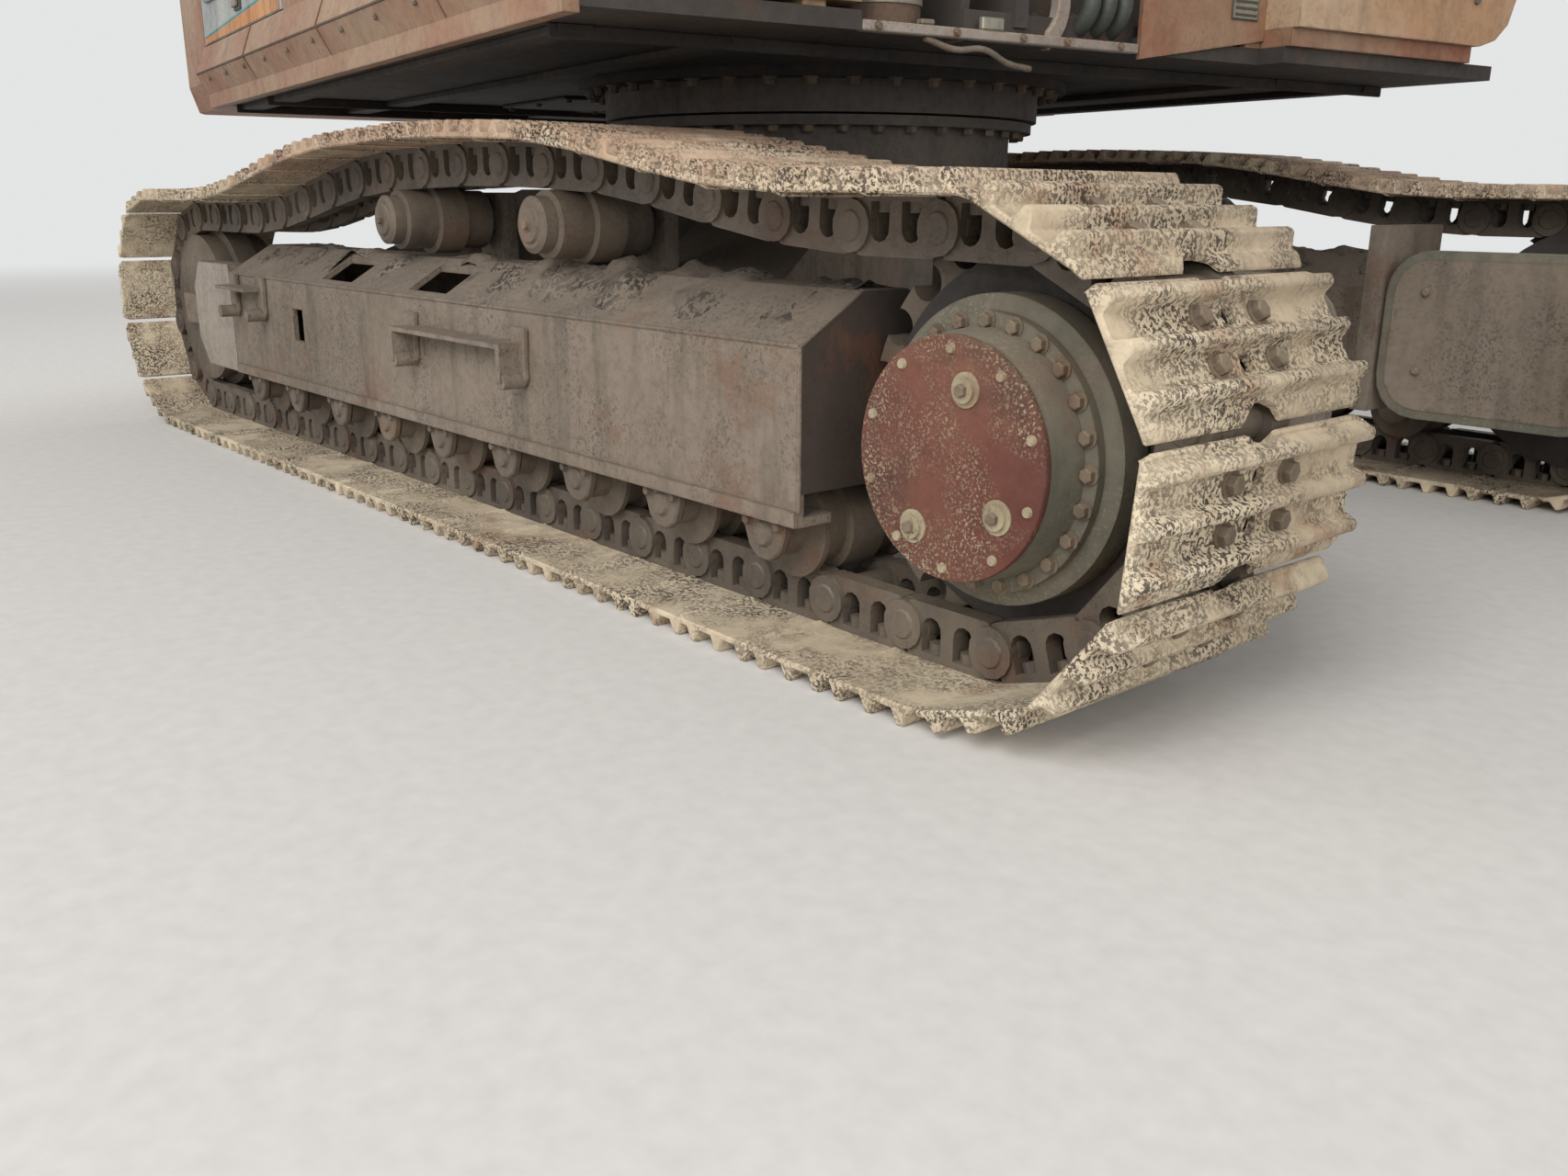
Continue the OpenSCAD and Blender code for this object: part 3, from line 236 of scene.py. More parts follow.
# %% Node helper, world, lamps and floor
def srgb(code, alpha=1.0):
    """A hex colour as it is written for a screen, turned to the linear values Blender wants."""
    parts = [int(code[i:i + 2], 16) / 255 for i in (1, 3, 5)]
    return tuple(c / 12.92 if c <= 0.04045 else ((c + 0.055) / 1.055) ** 2.4 for c in parts) + (alpha,)

def node(tree, kind, inputs=None, **settings):
    """Adds one node with its settings, and fills its sockets with values or with links."""
    made = tree.nodes.new(kind)
    for key, value in settings.items():
        setattr(made, key, value)
    for key, value in (inputs or {}).items():
        socket = made.inputs[key]
        if isinstance(value, bpy.types.NodeSocket):
            tree.links.new(value, socket)
        else:
            socket.default_value = value
    return made

scene = bpy.context.scene
scene.view_settings.view_transform = "Standard"
world = bpy.data.worlds.new("overcast sky")
scene.world = world
world.use_nodes = True
world.node_tree.nodes.clear()
sky = world.node_tree
path = node(sky, "ShaderNodeLightPath")
seen = node(sky, "ShaderNodeMath", {0: path.outputs["Is Camera Ray"], 1: path.outputs["Is Glossy Ray"]},
            operation="MAXIMUM")
seen = node(sky, "ShaderNodeMath", {0: seen.outputs[0], 1: path.outputs["Is Transmission Ray"]},
            operation="MAXIMUM")
dim = node(sky, "ShaderNodeBackground", {"Color": srgb("#eef1f4"), "Strength": 0.42})
pale = node(sky, "ShaderNodeBackground", {"Color": srgb("#e9eaea"), "Strength": 0.95})
mixed = node(sky, "ShaderNodeMixShader", {0: seen.outputs[0], 1: dim.outputs[0], 2: pale.outputs[0]})
node(sky, "ShaderNodeOutputWorld", {"Surface": mixed.outputs[0]})
for name, place, size, watts in (("key", (6.0, -9.0, 8.0), 7.0, 1050), ("back", (-7.0, 8.0, 9.0), 8.0, 800),
                                 ("side", (-6.0, -12.0, 5.0), 6.0, 330), ("low fill", (14.0, -6.0, 4.2), 6.0, 760)):
    leave_all()
    bpy.ops.object.light_add(type="AREA", location=place)
    lamp = bpy.context.object
    lamp.name = name
    lamp.data.size, lamp.data.energy = size, watts
    lamp.rotation_euler = (Vector((0.5, -0.3, 0.8)) - Vector(place)).to_track_quat("-Z", "Y").to_euler()
leave_all()
bpy.ops.mesh.primitive_grid_add(x_subdivisions=8, y_subdivisions=8, size=120, location=(0, 0, 0))
floor = settle("floor")
ground = bpy.data.materials.new("swept pale ground")
ground.use_nodes = True
ground.node_tree.nodes.clear()
g = ground.node_tree
place = node(g, "ShaderNodeTexCoord")
grain = node(g, "ShaderNodeTexNoise", {"Vector": place.outputs["Object"], "Scale": 26.0, "Detail": 6.0})
tone = node(g, "ShaderNodeMix", {"Factor": grain.outputs["Fac"], 6: srgb("#c9c6c1"), 7: srgb("#dcd9d4")},
            data_type="RGBA")
skin = node(g, "ShaderNodeBsdfPrincipled", {"Base Color": tone.outputs[2], "Roughness": 0.9})
# Far out the ground turns into the backdrop's own tone, so that no horizon shows
reach = node(g, "ShaderNodeVectorMath", {0: place.outputs["Object"]}, operation="LENGTH").outputs["Value"]
far = node(g, "ShaderNodeMapRange", {"Value": reach, "From Min": 7.0, "From Max": 17.0},
           interpolation_type="SMOOTHSTEP")
glow = node(g, "ShaderNodeEmission", {"Color": srgb("#e9eaea"), "Strength": 0.95})
swept = node(g, "ShaderNodeMixShader", {0: far.outputs[0], 1: skin.outputs[0], 2: glow.outputs[0]})
node(g, "ShaderNodeOutputMaterial", {"Surface": swept.outputs[0]})
floor.data.materials.append(ground)
print("studio ready")
# %% [markdown]
# ## Finishes
# Everything on this machine is steel that has stood outdoors for years: enamel that the sun has
# paled, run with rust below edges and bolts, and a film of quarry dust on all that faces up. One
# helper lays these down in the order in which they came: paint, fading, rust, grime that ran
# down, specks of lichen and dried mud, then dust. Pattern scales are in waves per metre, so a
# noise of scale 5 makes patches of about 200 mm and one of 150 makes specks of about 7 mm.

# %% The weathered steel helper
def blended(tree, factor, under, over):
    return node(tree, "ShaderNodeMix", {"Factor": factor, 6: under, 7: over}, data_type="RGBA").outputs[2]

def stretch(tree, value, low, high, top=1.0):
    """The part of a pattern between low and high, spread over 0 to top."""
    return node(tree, "ShaderNodeMapRange", {"Value": value, "From Min": low, "From Max": high,
                                             "To Min": 0.0, "To Max": top}).outputs[0]

def times(tree, a, b):
    return node(tree, "ShaderNodeMath", {0: a, 1: b}, operation="MULTIPLY").outputs[0]

def noise(tree, where, scale, detail=4.0, rough=0.6):
    return node(tree, "ShaderNodeTexNoise", {"Vector": where, "Scale": scale, "Detail": detail,
                                             "Roughness": rough}).outputs["Fac"]

def weathered(name, coat, faded, rust="#6a4029", grime="#2b2622", dust="#93866f", spots="#3d352c",
              rusty=0.35, runs=0.45, dusty=0.6, spotted=0.35, worn=0.0, rough=0.72, metal=0.0,
              patch=1.3, spot_scale=150.0, dense=0.55, high=None, bump=0.35):
    mat = bpy.data.materials.new(name)
    mat.use_nodes = True
    t = mat.node_tree
    t.nodes.clear()
    spot = node(t, "ShaderNodeTexCoord").outputs["Object"]
    facing = node(t, "ShaderNodeNewGeometry").outputs["Normal"]
    upward = node(t, "ShaderNodeSeparateXYZ", {0: facing}).outputs["Z"]
    # Paint, paled in patches of some hundreds of millimetres and mottled at a finger's width
    colour = blended(t, stretch(t, noise(t, spot, patch, 6.0), 0.38, 0.62), srgb(coat), srgb(faded))
    fine = noise(t, spot, 34.0, 5.0, 0.7)
    colour = blended(t, stretch(t, fine, 0.45, 0.8, 0.35), colour, srgb(grime))
    # Rust starts at a few places and spreads with a ragged edge
    eaten = stretch(t, noise(t, spot, 4.3, 9.0, 0.68), 0.56, 0.64, rusty)
    colour = blended(t, eaten, colour, srgb(rust))
    # Water carries dirt down: a noise drawn out nine times along the height
    drawn = node(t, "ShaderNodeMapping", {"Vector": spot, "Scale": (11.0, 11.0, 1.2)}).outputs[0]
    colour = blended(t, stretch(t, noise(t, drawn, 1.0, 4.0), 0.5, 0.72, runs), colour, srgb(grime))
    # Dust lies on what faces up, thinner where it is rubbed
    lying = times(t, stretch(t, upward, 0.15, 0.85, dusty), stretch(t, noise(t, spot, 7.0, 6.0), 0.3, 0.6))
    film = stretch(t, noise(t, spot, 2.6, 5.0), 0.42, 0.7, dusty * 0.5)
    colour = blended(t, film, colour, srgb(dust))
    colour = blended(t, lying, colour, srgb(dust))
    if high:
        # Earth that dried on the upper run of the tracks, where nothing rubs it off
        level = node(t, "ShaderNodeSeparateXYZ", {0: spot}).outputs["Z"]
        dried = times(t, stretch(t, level, 0.86, 0.96, 0.7), stretch(t, noise(t, spot, 3.1), 0.3, 0.5))
        colour = blended(t, dried, colour, srgb(high))
    # Specks of lichen and dried splashes, gathered in clouds
    clouds = stretch(t, noise(t, spot, 5.5, 3.0), 0.38, 0.6)
    specks = times(t, stretch(t, noise(t, spot, spot_scale, 3.0, 0.7), dense, dense + 0.06, spotted), clouds)
    colour = blended(t, specks, colour, srgb(spots))
    if worn:
        # Edges that are rubbed or chipped show bare brown steel
        soft = node(t, "ShaderNodeBevel", {"Radius": 0.009}, samples=4).outputs[0]
        sharp = node(t, "ShaderNodeVectorMath", {0: soft, 1: facing}, operation="DOT_PRODUCT").outputs["Value"]
        edge = times(t, stretch(t, sharp, 0.985, 0.86, worn), stretch(t, noise(t, spot, 19.0), 0.35, 0.55))
        colour = blended(t, edge, colour, srgb("#5b4a3c"))
    dull = node(t, "ShaderNodeMapRange", {"Value": fine, "From Min": 0.3, "From Max": 0.7,
                                          "To Min": rough - 0.1, "To Max": min(1.0, rough + 0.14)}).outputs[0]
    height = node(t, "ShaderNodeMath", {0: fine, 1: eaten}, operation="ADD").outputs[0]
    height = node(t, "ShaderNodeMath", {0: height, 1: specks}, operation="ADD").outputs[0]
    relief = node(t, "ShaderNodeBump", {"Height": height, "Strength": bump, "Distance": 0.004}).outputs[0]
    skin = node(t, "ShaderNodeBsdfPrincipled", {"Base Color": colour, "Roughness": dull,
                                                "Metallic": metal, "Normal": relief})
    node(t, "ShaderNodeOutputMaterial", {"Surface": skin.outputs[0]})
    return mat

# %% [markdown]
# Each finish is the helper with the values of one real surface, save the near black underside
# enamel, whose dark is painted shade. Enamel is hardly shiny after so many years. The shoes are
# bare cast steel under a crust of pale dried mud with dark pits, the chain inside them is dark
# from grease, and the round cover of the drive is a red primer that lichen has spotted.

# %% Finishes of the running gear
shoe_steel = weathered("shoe steel under dried mud", "#bba98f", "#d3c3a8", rust="#9a7053", dust="#cdbc9f",
                       spots="#3d342b", rusty=0.6, runs=0.1, dusty=0.35, spotted=0.95, rough=0.88,
                       patch=2.2, spot_scale=135.0, dense=0.50, high="#a4826a", bump=0.9)
chain_steel = weathered("greasy forged steel", "#4b423a", "#655a4d", dust="#8a7d69", rusty=0.35,
                        dusty=0.5, spotted=0.4, rough=0.66, bump=0.5)
bolt_steel = weathered("bolt heads with surface rust", "#5d4f42", "#7a6a57", dusty=0.5, rusty=0.5,
                       spotted=0.4, rough=0.75, patch=9.0)
frame_enamel = weathered("dusty frame enamel", "#6b5f50", "#86786a", rust="#6d4a36", dust="#6e6357",
                         spots="#3f362c", rusty=0.5, runs=0.55, dusty=0.9, spotted=0.6, worn=0.8,
                         rough=0.82, spot_scale=110.0, bump=0.6)
# Near black enamel for the underside and dark recesses: its dark is painted shade, with dust and rust marks laid over
# it.
shade_enamel = weathered("underside enamel darkened as painted shade, with dirt", "#2c2826", "#3a3430", dust="#5f564a",
                         rusty=0.25, runs=0.2, dusty=0.45, spotted=0.3, rough=0.8)
ring_steel = weathered("ring steel under old grease", "#4f4843", "#645b52", dust="#7b7062", rusty=0.3, dusty=0.4,
                       spotted=0.4, rough=0.7)
roller_steel = weathered("roller steel with old grease", "#4e443b", "#6c5f50", dust="#8d806c", rusty=0.35,
                         dusty=0.45, spotted=0.45, rough=0.7, worn=0.6)
hub_enamel = weathered("grey green hub enamel", "#57564a", "#6f6a5b", dust="#85796a", spots="#9c937c",
                       rusty=0.3, runs=0.35, dusty=0.5, spotted=0.45, worn=0.7, rough=0.78)
cover_primer = weathered("red primer with lichen", "#50271f", "#66392c", rust="#38201a", dust="#7d6a50",
                         spots="#b3a688", rusty=0.5, runs=0.3, dusty=0.35, spotted=0.75, rough=0.84,
                         spot_scale=190.0, dense=0.53, bump=0.7)

# %% [markdown]
# The upper structure wears an orange enamel that has gone brown and chalky, darker on the box at
# the right hand corner and paler on the cab. Rods are hard chrome, hoses are rubber gone grey.

# %% Finishes of the upper structure and the arm
body_enamel = weathered("chalky orange enamel", "#85543a", "#917359", rust="#6b3d27", dust="#a4937b",
                        rusty=0.3, runs=0.3, dusty=0.55, spotted=0.3, worn=0.9, rough=0.6, bump=0.2)
box_enamel = weathered("streaked yellow brown enamel", "#9a7a54", "#ae906e", rust="#5f3c28", dust="#8f806a",
                       rusty=0.35, runs=0.65, dusty=0.5, spotted=0.35, worn=0.9, rough=0.66, bump=0.25)
cab_enamel = weathered("paled orange cab enamel", "#aa8462", "#bba083", rust="#744a30", dust="#b0a18a",
                       rusty=0.25, runs=0.25, dusty=0.55, spotted=0.3, worn=0.8, rough=0.58, bump=0.2)
door_enamel = weathered("pale grey door enamel", "#8b8f8c", "#a5a7a2", dust="#a09a8d", rusty=0.2,
                        runs=0.3, dusty=0.5, spotted=0.25, worn=0.8, rough=0.55, bump=0.15)
engine_enamel = weathered("oily engine enamel", "#4c4b45", "#5d5a52", rusty=0.25, dusty=0.4, rough=0.55)
rail_enamel = weathered("rubbed grey rail enamel", "#6b665e", "#7f786d", rusty=0.35, worn=0.9, rough=0.5)
cylinder_enamel = weathered("orange cylinder enamel", "#995a35", "#ab7d58", rusty=0.25, runs=0.35,
                            dusty=0.45, worn=0.8, rough=0.55, bump=0.15)
flue_steel = weathered("scaled flue steel", "#4a3b31", "#5f4a3b", rust="#6e3f27", rusty=0.8, dusty=0.2,
                       rough=0.85, bump=0.6)
digging_steel = weathered("scoured digging steel", "#6b6257", "#857a6c", rust="#6f4a33", dust="#94876f",
                          rusty=0.45, runs=0.3, dusty=0.6, spotted=0.5, worn=0.9, rough=0.55, metal=0.35,
                          bump=0.5)
black_steel = weathered("black painted fittings", "#262524", "#353330", dust="#7d7466", rusty=0.15,
                        dusty=0.4, spotted=0.2, rough=0.5, bump=0.15)
hose_rubber = weathered("grey hose rubber", "#232423", "#333431", dust="#6e6759", rusty=0.0, runs=0.1,
                        dusty=0.4, spotted=0.25, rough=0.62, bump=0.15)
trim_plastic = weathered("grey moulded cab plastic", "#3b3d3e", "#484a4a", dust="#7c776c", rusty=0.0,
                         runs=0.1, dusty=0.35, spotted=0.15, rough=0.5, bump=0.1)
blank_plate = weathered("bare plate, rubbed pale", "#8f8b80", "#a19c8f", rusty=0.15, dusty=0.3,
                        rough=0.45, metal=0.4, patch=12.0, bump=0.1)

def rod_finish():
    """Hard chrome on a ground rod: a true mirror metal with a faint patchy film."""
    mat = bpy.data.materials.new("hard chrome rod")
    mat.use_nodes = True
    t = mat.node_tree
    t.nodes.clear()
    spot = node(t, "ShaderNodeTexCoord").outputs["Object"]
    film = noise(t, spot, 6.0, 5.0)
    tint = blended(t, stretch(t, film, 0.35, 0.7), srgb("#b9babb"), srgb("#9b978f"))
    dull = node(t, "ShaderNodeMapRange", {"Value": noise(t, spot, 60.0), "From Min": 0.3, "From Max": 0.7,
                                          "To Min": 0.12, "To Max": 0.3}).outputs[0]
    skin = node(t, "ShaderNodeBsdfPrincipled", {"Base Color": tint, "Roughness": dull, "Metallic": 1.0})
    node(t, "ShaderNodeOutputMaterial", {"Surface": skin.outputs[0]})
    return mat

def pane_finish():
    """Tinted safety glass with a film of dust: clear glass under a thin matt veil."""
    mat = bpy.data.materials.new("tinted safety glass")
    mat.use_nodes = True
    t = mat.node_tree
    t.nodes.clear()
    spot = node(t, "ShaderNodeTexCoord").outputs["Object"]
    clear = node(t, "ShaderNodeBsdfPrincipled", {"Base Color": srgb("#c8d4d2"), "Roughness": 0.03,
                                                 "IOR": 1.5, "Transmission Weight": 1.0})
    veil = node(t, "ShaderNodeBsdfPrincipled", {"Base Color": srgb("#8f897d"), "Roughness": 0.9})
    thick = stretch(t, noise(t, spot, 3.0, 6.0), 0.35, 0.8, 0.28)
    mixed = node(t, "ShaderNodeMixShader", {0: thick, 1: clear.outputs[0], 2: veil.outputs[0]})
    node(t, "ShaderNodeOutputMaterial", {"Surface": mixed.outputs[0]})
    return mat

def cloth_finish():
    """Woven seat cloth: two crossed waves 6 mm apart, coarser than the real weave so that it shows."""
    mat = bpy.data.materials.new("woven seat cloth")
    mat.use_nodes = True
    t = mat.node_tree
    t.nodes.clear()
    spot = node(t, "ShaderNodeTexCoord").outputs["Object"]
    across = node(t, "ShaderNodeTexWave", {"Vector": spot, "Scale": 26.0}, bands_direction="Y").outputs["Fac"]
    along = node(t, "ShaderNodeTexWave", {"Vector": spot, "Scale": 26.0}, bands_direction="X").outputs["Fac"]
    weave = times(t, across, along)
    worn = stretch(t, noise(t, spot, 6.0, 5.0), 0.4, 0.7, 0.5)
    tint = blended(t, weave, srgb("#242527"), srgb("#34363a"))
    tint = blended(t, worn, tint, srgb("#5a5650"))
    relief = node(t, "ShaderNodeBump", {"Height": weave, "Strength": 0.4, "Distance": 0.002}).outputs[0]
    skin = node(t, "ShaderNodeBsdfPrincipled", {"Base Color": tint, "Roughness": 0.92, "Sheen Weight": 0.3,
                                                "Normal": relief})
    node(t, "ShaderNodeOutputMaterial", {"Surface": skin.outputs[0]})
    return mat

rod_chrome, pane_glass, seat_cloth = rod_finish(), pane_finish(), cloth_finish()
print(len(bpy.data.materials), "finishes")

# %% [markdown]
# The CAD solids whose shape is right keep it and only get their finish. A glTF import gives each
# node one slot, so the finish goes into that slot.

# %% Finishes on the CAD nodes
FINISH = {
    "car_body": ring_steel, "legs": frame_enamel, "track_frame_right": frame_enamel,
    "track_frame_left": frame_enamel, "bottom_rollers": roller_steel, "carrier_rollers": roller_steel,
    "idlers": roller_steel, "sprockets": roller_steel, "final_drives": hub_enamel,
    # The deck takes shade_enamel, whose near black is painted shade under the house.
    "drive_covers": cover_primer, "slew_bearing": ring_steel, "deck": shade_enamel,
    "side_skirts": body_enamel, "counterweight": body_enamel, "engine_bay": body_enamel,
    "engine": engine_enamel, "hood": body_enamel, "pump_door": door_enamel, "cooler_door": door_enamel,
    "fuel_tank": body_enamel, "hydraulic_tank": body_enamel, "tool_box": box_enamel,
    "tool_box_lid": box_enamel, "cab_base": body_enamel, "cab": cab_enamel, "cab_door": cab_enamel,
    "cab_glass": pane_glass, "seat": seat_cloth, "handrails": rail_enamel, "exhaust": flue_steel,
    "front_hoses": hose_rubber, "boom": body_enamel, "boom_barrels": cylinder_enamel,
    "boom_rods": rod_chrome, "arm": body_enamel, "arm_barrel": cylinder_enamel, "arm_rod": rod_chrome,
    "bucket": digging_steel, "bucket_barrel": cylinder_enamel, "bucket_rod": rod_chrome,
    "rocker": cylinder_enamel, "push_link": cylinder_enamel, "track_right": shoe_steel,
    "track_left": shoe_steel,
}
# Nodes that the table does not name also get the painted shade of shade_enamel.
for name, obj in nodes.items():
    obj.data.materials.clear()
    obj.data.materials.append(FINISH.get(name, shade_enamel))
print("finished", len(nodes), "nodes")
# %% [markdown]
# ## The tracks
# A track is a chain of 48 forged links with a pressed shoe bolted to each. The shoe is a plate
# with three low ribs, two holes that let mud out, and a lip that slides over the next shoe. One
# link with its shoe is modelled lying along X, with its pin at the origin and +Z towards the
# ground, and copied along the pin line. The CAD track is one plain loop with the same shoe
# section, so this chain stands for it. A faster way would be an Array with a Curve
# modifier, but that bends every shoe, and the real ones stay flat and open at the wheels.

# %% The pin line
PITCH_COUNT = 48

def ease(t):
    return (1 - cos(pi * min(1, max(0, t)))) / 2

def top_z(u):
    drive_top, idler_top, carried = DRIVE_Z + DRIVE_R, IDLER_Z + IDLER_R, 0.934
    if u < 1.400:
        return drive_top + (carried - drive_top) * ease((u - 0.350) / 1.050)
    if u < 2.200:
        return carried + 0.010 * sin(pi * (u - 1.400) / 0.800)
    return carried + (idler_top - carried) * ease((u - 2.200) / 1.300)

def arc(x, z, radius, start, end):
    return [(x + radius * cos(radians(a)), z + radius * sin(radians(a))) for a in range(start, end + 1, 6)]

line = arc(HALF_BASE, DRIVE_Z, DRIVE_R, -90, 90)
line += [(HALF_BASE - 0.05 * k, top_z(0.05 * k)) for k in range(1, 81)]
line += arc(-HALF_BASE, IDLER_Z, IDLER_R, 90, 270)
steps = [sqrt((b[0] - a[0]) ** 2 + (b[1] - a[1]) ** 2) for a, b in zip(line, line[1:] + line[:1])]

def station(distance):
    for (a, b), step in zip(zip(line, line[1:] + line[:1]), steps):
        if distance < step:
            return a[0] + (b[0] - a[0]) * distance / step, a[1] + (b[1] - a[1]) * distance / step
        distance -= step
    return line[0]

pins = [station(k * sum(steps) / PITCH_COUNT) for k in range(PITCH_COUNT)]
PITCH = sum(steps) / PITCH_COUNT
link_places = []
for (x0, z0), (x1, z1) in zip(pins, pins[1:] + pins[:1]):
    along_link = Vector((x1 - x0, 0, z1 - z0)).normalized()
    outwards = Vector((along_link.z, 0, -along_link.x))
    sideways = outwards.cross(along_link)
    turned = Matrix((along_link, sideways, outwards)).transposed().to_4x4()
    link_places.append(Matrix.Translation((x0, 0, z0)) @ turned)
print("link pitch", round(PITCH * 1000, 1), "mm")

# %% [markdown]
# The shoe starts as its plate. Six cuts mark the feet of the ribs, each rib is extruded and
# narrowed to its crest, the rear edge is drawn down into the lip, the corners are cut off, and
# two holes are bored between the ribs.

# %% One shoe
RIBS = [0.14 * PITCH, 0.5 * PITCH, 0.86 * PITCH]
VALLEYS = [(RIBS[0] + RIBS[1]) / 2, (RIBS[1] + RIBS[2]) / 2]

def cut_across(obj, x, axis=(1, 0, 0)):
    only(obj)
    bpy.ops.object.mode_set(mode="EDIT")
    bpy.ops.mesh.select_all(action="SELECT")
    bpy.ops.mesh.bisect(plane_co=(x * axis[0], x * axis[1], x * axis[2]), plane_no=axis)
    done()

def make_shoe():
    shoe = cuboid((-0.002, -0.300, 0.057), (PITCH - 0.003, 0.300, 0.070), "shoe")
    for rib in RIBS:
        for foot in (rib - 0.019, rib + 0.019):
            cut_across(shoe, foot)
    for rib in RIBS:
        pick(shoe, lambda c, n: n.z > 0.9 and abs(c.x - rib) < 0.018)
        bpy.ops.mesh.extrude_region_move(TRANSFORM_OT_translate={"value": (0, 0, 0.028)})
        bpy.ops.transform.resize(value=(0.44, 0.99, 1), center_override=(rib, 0, 0.098))
        done()
    pick(shoe, lambda c, n: n.x < -0.9 and c.x < 0)
    bpy.ops.mesh.extrude_region_move(TRANSFORM_OT_translate={"value": (-0.021, 0, -0.008)})
    bpy.ops.transform.resize(value=(1, 0.97, 0.6), center_override=(-0.023, 0, 0.052))
    done()
    pick(shoe, lambda c, n: abs(c.y) > 0.29 and abs(n.z) > 0.9 and c.x > PITCH - 0.01, "EDGE")
    bpy.ops.mesh.bevel(offset=0.02, segments=1, affect="EDGES")
    done()
    rounded(shoe, 0.0035, 1, 25)
    for x in VALLEYS:
        minus(shoe, bar((x, 0, 0.02), (x, 0, 0.12), 0.017, 8))
    # A rounded notch in the middle of both edges clears the links at the wheels
    for x in (-0.047, PITCH + 0.036):
        minus(shoe, bar((x, 0, 0.02), (x, 0, 0.12), 0.058, 14))
    return shoe

shoe = make_shoe()
shoe.data.materials.append(shoe_steel)
print("shoe:", len(shoe.data.polygons), "faces")

# %% [markdown]
# A link is forged: an inner eye round the bushing at one end, an outer eye round the pin at the
# other, and a web between them with two windows, round towards the rail and flat towards the
# shoe, where the nuts of the shoe's bolts sit. The web is cut to its outline, the windows are
# bored and squared, and the eyes are added as turned bosses.

# %% One link, with its bushing, nuts and bolts
def make_link(side):
    web = plate([(0.012, -0.050), (0.022, -0.052), (PITCH - 0.022, -0.052), (PITCH - 0.012, -0.050),
                 (PITCH + 0.004, 0.030), (PITCH - 0.014, 0.057), (0.014, 0.057), (-0.004, 0.030)],
                0.058, 0.098, "web")
    for x in VALLEYS:
        minus(web, bar((x, 0.0, -0.004), (x, 0.2, -0.004), 0.0235, 10))
        minus(web, cuboid((x - 0.0235, 0.0, -0.004), (x + 0.0235, 0.2, 0.043)))
    inner = bar((0, 0.052, 0), (0, 0.082, 0), 0.050, 14)
    outer = bar((PITCH, 0.080, 0), (PITCH, 0.106, 0), 0.048, 14)
    collar = bar((PITCH, 0.106, 0), (PITCH, 0.110, 0), 0.030, 12, far_radius=0.026)
    link = joined([web, inner, outer, collar], "link")
    nuts = [bar((x, 0.078, 0.024), (x, 0.078, 0.044), 0.017, 6) for x in VALLEYS]
    link = joined([link] + nuts, "link")
    if side < 0:
        only(link)
        bpy.ops.object.mode_set(mode="EDIT")
        bpy.ops.mesh.select_all(action="SELECT")
        bpy.ops.transform.resize(value=(1, -1, 1), center_override=(0, 0, 0))
        bpy.ops.mesh.normals_make_consistent(inside=False)
        done()
    bpy.ops.object.shade_smooth_by_angle(angle=radians(40))
    link.data.materials.append(chain_steel)
    return link

def bolt_head(radius, height, name="bolt"):
    """A hexagon head on its washer, standing on the origin and pointing along +Z."""
    washer = bar((0, 0, 0), (0, 0, height * 0.2), radius * 1.35, 12)
    head = bar((0, 0, height * 0.2), (0, 0, height), radius, 6)
    pick(head, lambda c, n: n.z > 0.9)
    bpy.ops.mesh.inset(thickness=radius * 0.18, depth=0)
    bpy.ops.transform.translate(value=(0, 0, radius * 0.12))
    done()
    bolt = joined([head, washer], name)
    bolt.data.materials.append(bolt_steel)
    return bolt

shoe_bolts = repeated(bolt_head(0.0165, 0.016), [Matrix.Translation((x, y, 0.070))
                                                 for x in VALLEYS for y in (-0.078, 0.078)], "shoe bolts")
bushing = bar((0, -0.056, 0), (0, 0.056, 0), 0.034, 14, "bushing")
bushing.data.materials.append(chain_steel)
bpy.ops.object.shade_smooth_by_angle(angle=radians(40))
unit = joined([shoe, make_link(1), make_link(-1), bushing, shoe_bolts], "track unit")
print("one unit of the track:", sum(len(f.vertices) - 2 for f in unit.data.polygons), "triangles")

# %% Both chains
def make_chain(side):
    master = unit.copy()
    master.data = unit.data.copy()
    bpy.context.collection.objects.link(master)
    chain = repeated(master, [track_place(side) @ p for p in link_places], "chain_" + side)
    finish(chain, "undercarriage")
    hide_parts("track_" + side)

for side in SIDES:
    make_chain(side)
bpy.data.objects.remove(unit)
# %% [markdown]
# ## Drives, rollers and track frames
# These pieces are drawn once in a track's own plan, with x forwards and y outwards, and set at
# both tracks: as drawn on the left, and as its mirror image on the right. A mirrored mesh is
# inside out, so its normals are recalculated.

# %% Pieces at both tracks
OUT = Matrix.Rotation(radians(-90), 4, "X")
DOWN = Matrix.Rotation(radians(180), 4, "X")

def dressed(obj, material):
    obj.data.materials.append(material)
    return obj

def smooth(obj, angle=40):
    only(obj)
    bpy.ops.object.shade_smooth_by_angle(angle=radians(angle))
    return obj

def mirrored(obj):
    """A copy on the other side of the XZ plane."""
    twin = obj.copy()
    twin.data = obj.data.copy()
    bpy.context.collection.objects.link(twin)
    only(twin)
    bpy.ops.object.mode_set(mode="EDIT")
    bpy.ops.mesh.select_all(action="SELECT")
    bpy.ops.transform.resize(value=(1, -1, 1), center_override=(0, 0, 0))
    bpy.ops.mesh.normals_make_consistent(inside=False)
    done()
    return twin

def both_tracks(pieces, name):
    obj = joined(pieces, name)
    twin = mirrored(obj)
    twin.data.transform(track_place("right"))
    obj.data.transform(track_place("left"))
    return finish(joined([obj, twin], name), "undercarriage")
